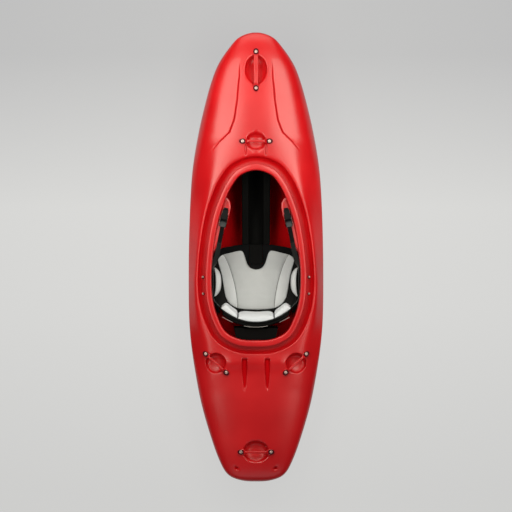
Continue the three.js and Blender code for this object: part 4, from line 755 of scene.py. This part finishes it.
# node, material, slot, radius of its edges in millimetres, steps in that radius
rigidPieces = [
    ("front_pillar", blackFoam, "black_plastic", 4.0, 3), ("pillar_block", blackFoam, "black_plastic", 3.0, 3),
    ("rear_pillar", blackFoam, "black_foam", 3.0, 3), ("seat_pan", blackPlastic, "black_plastic", 1.6, 3),
    ("foot_brace_beam", blackPlastic, "black_plastic", 1.0, 2),
    ("foot_brace_knob", greyPlastic, "grey_plastic", 0.8, 2),
    ("backband_shell", blackPlastic, "black_plastic", 1.4, 3)]
for side, word in sides:
    rigidPieces += [
        ("foot_rail_" + word, greyPlastic, "grey_plastic", 0.6, 2),
        ("foot_plate_" + word, blackPlastic, "black_plastic", 0.8, 2),
        ("hip_foam_" + word, blackFoam, "black_foam", 2.5, 3),
        ("seat_hanger_" + word, blackPlastic, "black_plastic", 0.8, 2),
        ("ratchet_base_" + word, blackPlastic, "black_plastic", 0.5, 2),
        ("ratchet_lever_" + word, blackPlastic, "black_plastic", 0.6, 2),
        ("ratchet_release_" + word, darkNylon, "grey_plastic", 0.5, 2),
        ("ladder_tongue_" + word, blackPlastic, "black_plastic", 0.2, 1),
        ("lever_pin_" + word, steel, "stainless_steel", 0.25, 2),
        ("release_pin_" + word, steel, "stainless_steel", 0.25, 2)]
for row in rigidPieces:
    rounded(*row)
print("outfitting made")


# padded pieces: crowned closed forms over their backing, with sewn channels

simulation = {"frames": 16, "pressure": 4.0, "quality": 4, "edge": 0.965, "seamHalf": 0.012}


def swell(piece, largest):
    # cloth blown up a little between its sewn edges and seams, kept to the largest move given
    scene = bpy.context.scene
    free = np.zeros(len(piece.data.vertices))
    piece.data.attributes["free"].data.foreach_get("value", free)
    group = piece.vertex_groups.new(name="sewn")
    group.add(np.flatnonzero(free < 0.5).tolist(), 1.0, "REPLACE")
    cloth = piece.modifiers.new("cloth", "CLOTH")
    cloth.settings.use_pressure = True
    cloth.settings.uniform_pressure_force = simulation["pressure"]
    cloth.settings.vertex_group_mass = group.name
    cloth.settings.quality = simulation["quality"]
    cloth.settings.effector_weights.gravity = 0
    cloth.point_cache.frame_end = simulation["frames"]
    for number in range(1, simulation["frames"] + 1):
        scene.frame_set(number)
    blown = piece.evaluated_get(bpy.context.evaluated_depsgraph_get()).to_mesh()
    before = pointsOf(piece.data)
    move = pointsOf(blown) - before
    piece.modifiers.remove(cloth)
    piece.vertex_groups.clear()
    scene.frame_set(1)
    reach = np.sqrt((move ** 2).sum(1)).max()
    move *= min(1.0, largest * mm / max(reach, 1e-9))
    piece.data.vertices.foreach_set("co", (before + move).ravel())
    piece.data.update()
    print("swollen", piece.name, "%.1f mm, shown %.1f" % (reach / mm, min(reach / mm, largest)))


def pillow(place, heightAt, back=0.0):
    # place takes u and v from -1 to 1 and a height; the upper and lower faces meet in a seam
    def shape(u, v):
        a = np.sin(pi / 2 * (2 * u - 1))
        upper = v < 0.5
        b = np.where(upper, np.sin(pi / 2 * (4 * v - 1)), np.sin(pi / 2 * (3 - 4 * v)))
        return place(a, b, np.where(upper, heightAt(a, b), back))
    return shape


def padPiece(node, place, heightAt, columns, rows, material, swelling=0, seams=(), name=None):
    bm = unitGrid(columns, rows * 2)
    for face in bm.faces:
        middle = face.calc_center_median()
        face.material_index = int(middle.y < 0.5 and any(abs(middle.x - seam) * columns < 0.6 for seam in seams))
        if seams and not face.material_index and not seams[0] < middle.x < seams[1]:
            face.material_index = 2   # the outer panels, in the paler cloth as painted light
    free = bm.verts.layers.float.new("free")
    for vert in bm.verts:
        a, b = sin(pi / 2 * (2 * vert.co.x - 1)), sin(pi / 2 * (4 * vert.co.y - 1))
        sewn = vert.co.y > 0.49 or max(abs(a), abs(b)) > simulation["edge"]
        sewn = sewn or any(abs(vert.co.x - seam) < simulation["seamHalf"] for seam in seams)
        vert[free] = 0.0 if sewn else 1.0
    bend(bm, pillow(place, heightAt), 0.005 * mm)
    piece = addPiece(name or camel(node), bm, material, frame["nodes"][node]["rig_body"])
    if seams:
        # the seams take the thread, and the outer panels the paler cloth as painted light
        piece.data.materials.append(seamThread)
        piece.data.materials.append(paleClothAndPaintedLight)
    if swelling:
        swell(piece, swelling)
    piece.data.attributes.remove(piece.data.attributes["free"])
    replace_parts(piece, node)
    return piece


def makeBulge(name, place, heightAt):
    # firm foam formed the same way, with a flat back
    bm = bend(unitGrid(48, 64), pillow(place, heightAt, -0.4), 0.005 * mm)
    return addPiece(name, bm, blackFoam, "seat")


def puffed(a, power=6.0, root=0.42):
    return np.clip(1 - np.abs(a) ** power, 0, 1) ** root


def block(height):
    # nearly flat on top, with rounded edges
    return lambda u, v: height * puffed(u, 8, 0.5) * puffed(v, 8, 0.5)


# the seat's pan: how its surface rises along the boat and to the sides
seat = {"frontX": 72, "rearX": -262, "half": 214, "low": 42, "frontRise": 46, "sideRise": 44}
seatRise = [[0, 0.48], [0.08, 0.26], [0.16, 0.11], [0.24, 0.03], [0.32, 0], [0.52, 0], [0.62, 0.03], [0.72, 0.14],
            [0.82, 0.35], [0.92, 0.68], [1, 1]]
seatSide = [[0, 0], [0.4, 0.02], [0.66, 0.18], [0.85, 0.52], [0.96, 0.85], [1, 1]]
seatCushion = {"frontX": 44, "rearX": -257, "half": 192, "thickness": 12.5, "seamRear": 92, "seamFront": 165,
               "seamCurve": 1.7, "clear": 0.9, "channel": 0.016, "channelDip": 0.55, "panel": (8, 0.2),
               "edgeShare": 0.82, "crownShare": 0.22}
# the cushion's front and rear edges: share of the half width, and of the length from the rear
cushionFront = [[0, 0.672], [0.08, 0.68], [0.15, 0.702], [0.2, 0.735], [0.235, 0.772], [0.262, 0.815], [0.284, 0.866],
                [0.305, 0.915], [0.33, 0.955], [0.365, 0.983], [0.41, 0.99], [0.5, 0.982], [0.86, 0.925], [0.93, 0.9],
                [0.97, 0.872], [1, 0.827]]
cushionRear = [[0, 0], [0.31, 0.01], [0.456, 0.024], [0.57, 0.05], [0.67, 0.09], [0.735, 0.135], [0.79, 0.2],
               [0.825, 0.28], [0.86, 0.42], [0.9, 0.58], [1, 0.827]]


def seatSurface(x, y):
    rise = seat["frontRise"] * fromTable(seatRise, (x - seat["rearX"]) / (seat["frontX"] - seat["rearX"]))
    return seat["low"] + rise + seat["sideRise"] * fromTable(seatSide, np.abs(y) / seat["half"])


def seatCushionPlace(u, v, h):
    w = (v + 1) / 2
    seam = mix(seatCushion["seamRear"], seatCushion["seamFront"], w ** seatCushion["seamCurve"])
    p = np.abs(u)
    y = np.where(p < 0.5, seam * p / 0.5, mix(seam, seatCushion["half"], (p - 0.5) / 0.5))
    share = y / seatCushion["half"]
    along = mix(fromTable(cushionRear, share), fromTable(cushionFront, share), w)
    x = seatCushion["rearX"] + (seatCushion["frontX"] - seatCushion["rearX"]) * along
    return np.column_stack([x, np.sign(u) * y, seatSurface(x, y) + seatCushion["clear"] + h])


def seatCushionHeight(u, v):
    seam = np.exp(-((np.abs(u) - 0.5) / seatCushion["channel"]) ** 2)
    panel = puffed(np.where(np.abs(u) < 0.5, u / 0.5, (np.abs(u) - 0.75) / 0.25), *seatCushion["panel"])
    crown = seatCushion["edgeShare"] + seatCushion["crownShare"] * panel
    return seatCushion["thickness"] * puffed(u) * puffed(v) * crown * (1 - seatCushion["channelDip"] * seam)


padPiece("seat_pad", seatCushionPlace, seatCushionHeight, 200, 60, greyCloth, 5, (0.3325, 0.6675),
         "seatCushion")

hip = {"frontX": -44, "rearX": -186, "inner": 172, "outer": 206, "bottom": 104, "top": 204, "bulge": 8, "arch": 0.06,
       "taper": 0.35, "puff": (3.2, 0.55)}


def hipPlace(side, share=1.0):
    def place(u, v, h):
        x = mix(hip["rearX"], hip["frontX"], (u + 1) / 2)
        z = mix(hip["bottom"], hip["top"], (v + 1) / 2) - (hip["top"] - hip["bottom"]) * hip["arch"] * u * u
        return np.column_stack([x, side * (hip["outer"] - hip["bulge"] * (1 - u * u) * share - h), z])
    return place


def hipHeight(u, v):
    deep = (hip["outer"] - hip["inner"]) * (1 - hip["taper"] * u * u) - hip["bulge"] * (1 - u * u)
    return deep * puffed(u, *hip["puff"]) * puffed(v)


def hipFoamHeight(u, v):
    return (1 - u * u) * block(hip["bulge"])(u, v)


band = {"x": -298, "bow": 62, "half": 176, "middle": 186, "tall": 66, "lean": 0.2, "pad": 22, "middlePad": 7,
        "sidePad": 34, "centre": 88, "gap": 5, "clear": 0.3, "rounding": 0.08, "middleTall": (0.86, 0.86),
        "sideTall": (0.8, 0.42)}
sideStart = band["centre"] + band["gap"]
bandFoam = {"half": 158, "top": 60, "bottom": -58, "deep": 37, "front": 5.6, "thinnest": 6, "endShare": 0.3,
            "square": 0.4}
piping = {"radius": 0.9, "up": 56, "spans": ((104, 152, "Left"), (-152, -104, "Right"), (-54, 54, "Centre"))}


def bandPoint(y, up, forward):
    share = y / band["half"]
    slope = 2 * band["bow"] * share / band["half"]
    length = np.sqrt(1 + slope ** 2)
    x = band["x"] + band["bow"] * share ** 2 - band["lean"] * up
    return np.column_stack([x + forward / length, y - slope / length * forward, band["middle"] + up])


def bandPlace(low, high, ends):
    def place(u, v, h):
        y = mix(low, high, (u + 1) / 2)
        tall = band["tall"] * mix(*ends, (np.abs(y) - sideStart) / (band["half"] - sideStart))
        return bandPoint(y, v * tall * (1 - band["rounding"] * np.abs(u) ** 3), band["clear"] + h)
    return place


def bandHeight(u, v):
    return (band["pad"] + band["middlePad"] * (1 - u * u)) * puffed(u) * puffed(v)


def bandSideHeight(side):
    # half as thick beside the middle pad as at its outer end
    return lambda u, v: band["sidePad"] * mix(0.5, 1, (side * u + 1) / 2) * puffed(u, 5, 0.5) * puffed(v)


def bandFoamPlace(u, v):
    # a closed ring round the foam's section, drawn along the band
    y = mix(-bandFoam["half"], bandFoam["half"], u)
    c, s = squircle(v, bandFoam["square"])
    up = mix(bandFoam["bottom"], bandFoam["top"], (s + 1) / 2)
    taper = mix(bandFoam["endShare"], 1, puffed(y / bandFoam["half"], 5, 0.5))
    deep = np.maximum(bandFoam["deep"] - band["lean"] * up - bandFoam["front"], bandFoam["thinnest"]) * taper
    up = mix((bandFoam["bottom"] + bandFoam["top"]) / 2, up, between(u))
    return bandPoint(y, up, -bandFoam["front"] - deep * (1 - c * between(u)) / 2)


padPiece("backband_pad_centre", bandPlace(-band["centre"], band["centre"], band["middleTall"]), bandHeight, 90, 50,
         whiteCloth, 5)
addPiece("backbandFoam", bend(unitGrid(72, 40), bandFoamPlace), blackFoam, "backband")
for low, high, word in piping["spans"]:
    def pipingPlace(u, v, low=low, high=high):
        radius = piping["radius"] * between(u)
        back = bandFoam["deep"] - band["lean"] * piping["up"]
        return bandPoint(mix(low, high, u), piping["up"] + radius * np.sin(2 * pi * v),
                         radius * np.cos(2 * pi * v) - back)

    addPiece("backbandPiping" + word, bend(unitGrid(40, 12), pipingPlace), greyPiping, "backband")


# firm foam behind and beside the seat
tailFoam = {"frontX": -256, "rearX": -300, "half": 112, "bottom": 40, "top": 92, "narrowing": 0.25}
flanks = {"frontX": -184, "rearX": -268, "deep": 13, "bottom": 96, "top": 196, "clear": 3, "square": 0.4}


def tailPlace(u, v, h):
    x = mix(tailFoam["frontX"], tailFoam["rearX"], (u + 1) / 2 * (1 - tailFoam["narrowing"] * v * v))
    return np.column_stack([x, tailFoam["half"] * v, tailFoam["bottom"] + h])


def flankPlace(side):
    def place(u, v):
        x = mix(flanks["rearX"], flanks["frontX"], u)
        c, s = [part * between(u) for part in squircle(v, flanks["square"])]
        y = neckAt(x) - flanks["clear"] - flanks["deep"] * (1 - c) / 2
        return np.column_stack([x, side * y, mix(flanks["bottom"], flanks["top"], (s + 1) / 2)])
    return place


makeBulge("seatTailFoam", tailPlace, block(tailFoam["top"] - tailFoam["bottom"]))
for side, word in sides:
    addPiece(camel("seat_flank_" + word), bend(unitGrid(30, 40), flankPlace(side)), blackFoam, "seat")


# pads on both sides, and the foam on the foot plates
plates = {"half": 172, "bottom": 96, "top": 250, "near": 76.9, "face": 641.4, "foam": 18}
for side, word in sides:
    padPiece("hip_pad_" + word, hipPlace(side), hipHeight, 80, 50, paleClothAndPaintedLight, 4)
    makeBulge(camel("hip_foam_face_" + word), hipPlace(side, 0.0), hipFoamHeight)
    low, high = sorted((side * sideStart, side * (band["half"] - band["gap"])))
    padPiece("backband_pad_" + word, bandPlace(low, high, band["sideTall"]), bandSideHeight(side), 70, 40, whiteCloth,
             5)

    def footPlace(u, v, h, side=side):
        y = side * mix(plates["near"], plates["half"], (u + 1) / 2)
        return np.column_stack([plates["face"] - h, y, mix(plates["bottom"], plates["top"], (v + 1) / 2)])

    padPiece("foot_foam_" + word, footPlace, block(plates["foam"]), 40, 40, blackFoam)
print("pads made")


# straps from the backband's ends to the toothed tongues: on edge past the hips, then turned flat
strap = {"width": 22, "thickness": 2.4, "offset": 211, "height": 236, "turn": 11, "ratchet": (188, 157, 292.5),
         "tail": -112.3, "lift": 18, "flatFrom": 64, "dip": 0.4, "turnStart": 0.56, "turnLength": 0.24, "steps": 150,
         "outShare": 0.7, "upShare": 0.9, "downShare": 0.45, "squareness": (0.35, 0.5)}


def makeStrap(side, word):
    a = radians(strap["turn"])
    drawn = np.array([cos(a), -sin(a), 0])
    tail = strap["ratchet"] + drawn * strap["tail"]
    start = bandPoint(np.array([float(band["half"])]), 0, 0)[0]
    offset, height = strap["offset"], strap["height"]
    route = np.array([
        start + [0.3, strap["thickness"], strap["lift"]],
        [(start[0] + hip["rearX"]) / 2, mix(start[1], offset, strap["outShare"]),
         mix(start[2], height, strap["upShare"])],
        [hip["rearX"], offset, height], [(hip["rearX"] + hip["frontX"]) / 2, offset, height],
        [hip["frontX"], offset - strap["thickness"], mix(height, tail[2], strap["downShare"])],
        tail - drawn * strap["flatFrom"] - [0, 0, strap["dip"]], tail])
    line = throughPoints(extended(route), 40, 0.25)
    reach = reachOf(line)
    slope = unit(np.gradient(line, axis=0))

    def place(u, v):
        closed = between(u)[:, None]
        u = np.clip((u - 1 / strap["steps"]) / (1 - 2 / strap["steps"]), 0, 1)
        at, along = [np.column_stack([np.interp(u, reach, part) for part in whole.T]) for whole in (line, slope)]
        level = unit(np.cross([0, 0, 1.0], along))
        flat = smoothStep((u - strap["turnStart"]) / strap["turnLength"])[:, None]
        wide = mix(np.array([0, 0, 1.0]), level, flat)
        wide = unit(wide - along * (wide * along).sum(1)[:, None])
        thin = np.cross(wide, along)
        c, s = squircle(v, *strap["squareness"])
        points = at + (wide * (c * strap["width"] / 2)[:, None] + thin * (s * strap["thickness"] / 2)[:, None]) * closed
        return points * [1, side, 1]

    bm = bend(unitGrid(strap["steps"], 28), place)
    piece = addPiece(camel("backband_strap_" + word), bm, webbing, None)
    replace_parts(piece, f"backband_strap_{word}")
    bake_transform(piece)


for side, word in sides:
    makeStrap(side, word)
print("straps made")


# studio

# the backdrop stops paint shade into the floor's glow: darker toward the bow end and a little toward the stern end
studio = {"floorZ": -0.0005, "floorSize": 40, "floorColour": "D0D0D0", "backdropShare": 0.9,
          "backdropReach": 1.3, "backdrop": [(0.05, "D2D2D1"), (0.4, "D8D8D7"), (0.6, "D8D8D7"), (0.9, "BEBEBF")],
          "skyColour": "F2F3F5", "backLight": 0.085}
bm = bmesh.new()
bmesh.ops.create_grid(bm, x_segments=1, y_segments=1, size=studio["floorSize"] / 2)
mesh = bpy.data.meshes.new("floor")
bm.to_mesh(mesh)
bm.free()
mesh.transform(Matrix.Translation((0, 0, studio["floorZ"])))
floor = bpy.data.objects.new("floor", mesh)
bpy.context.scene.collection.objects.link(floor)
# the floor glows pale to the camera, to shiny surfaces and through clear ones, and still takes the shadow; the glow has
# painted shade, darker toward the bow end and a little toward the stern end
floorMaterial, tree, shader, place = newMaterial("paleFloor", Roughness=0.9)
shader.inputs["Base Color"].default_value = linear(studio["floorColour"])
along = addNode(tree, "SeparateXYZ", i0=place).outputs["X"]
along = addNode(tree, "MapRange", {"From Min": -studio["backdropReach"], "From Max": studio["backdropReach"]},
                Value=along).outputs["Result"]
glow = addNode(tree, "Emission", Color=ramp(tree, along, [(at, linear(grey)) for at, grey in studio["backdrop"]]))
seen = addNode(tree, "LightPath").outputs
share = addNode(tree, "Math", {"operation": "MAXIMUM"}, i0=seen["Is Camera Ray"], i1=seen["Is Transmission Ray"])
share = addNode(tree, "Math", {"operation": "MAXIMUM"}, i0=share.outputs[0], i1=seen["Is Glossy Ray"])
howMuch = addNode(tree, "Math", {"operation": "MULTIPLY"}, i0=share.outputs[0])
howMuch.inputs[1].default_value = studio["backdropShare"]
blend = addNode(tree, "MixShader", i0=howMuch.outputs[0], i1=shader.outputs[0], i2=glow.outputs[0])
output = next(node for node in tree.nodes if node.bl_idname == "ShaderNodeOutputMaterial")
tree.links.new(blend.outputs[0], output.inputs["Surface"])
mesh.materials.append(floorMaterial)

world = bpy.data.worlds.new("studio")
world.use_nodes = True
sky = world.node_tree.nodes["Background"]
sky.inputs["Color"].default_value = linear(studio["skyColour"])
sky.inputs["Strength"].default_value = studio["backLight"]
bpy.context.scene.world = world


def addLamp(name, size, power, spot, aim, colour=(1, 0.98, 0.86)):
    lamp = bpy.data.lights.new(name, "AREA")
    lamp.shape = "RECTANGLE"
    lamp.size, lamp.size_y = size
    lamp.energy = power
    lamp.color = colour
    lampObject = bpy.data.objects.new(name, lamp)
    lampObject.location = spot
    lampObject.rotation_euler = (Vector(aim) - Vector(spot)).to_track_quat("-Z", "Y").to_euler()
    bpy.context.scene.collection.objects.link(lampObject)


# low softboxes off both sides of the bow, a strip off each side of the cockpit, a broad light past the bow and a
# weak one past the stern
for side, word in sides:
    addLamp(camel("bow_lamp_" + word), (1.45, 0.95), 23.5, (0.85, side * 0.75, 1.85), (0.8, side * 0.12, 0.3))
    addLamp(camel("side_lamp_" + word), (1.5, 0.2), 12, (-0.5, side * 1.15, 2.6), (-0.25, side * 0.28, 0.3))
addLamp("farLamp", (4.4, 3.0), 94, (4.4, 0, 2.3), (0.2, 0, 0.2))
addLamp("sternLamp", (2.4, 1.0), 4.5, (-2.7, 0, 1.9), (-1.05, 0, 0.2), (1, 1, 1))
bpy.context.scene.view_settings.view_transform = "Standard"
print("studio made")
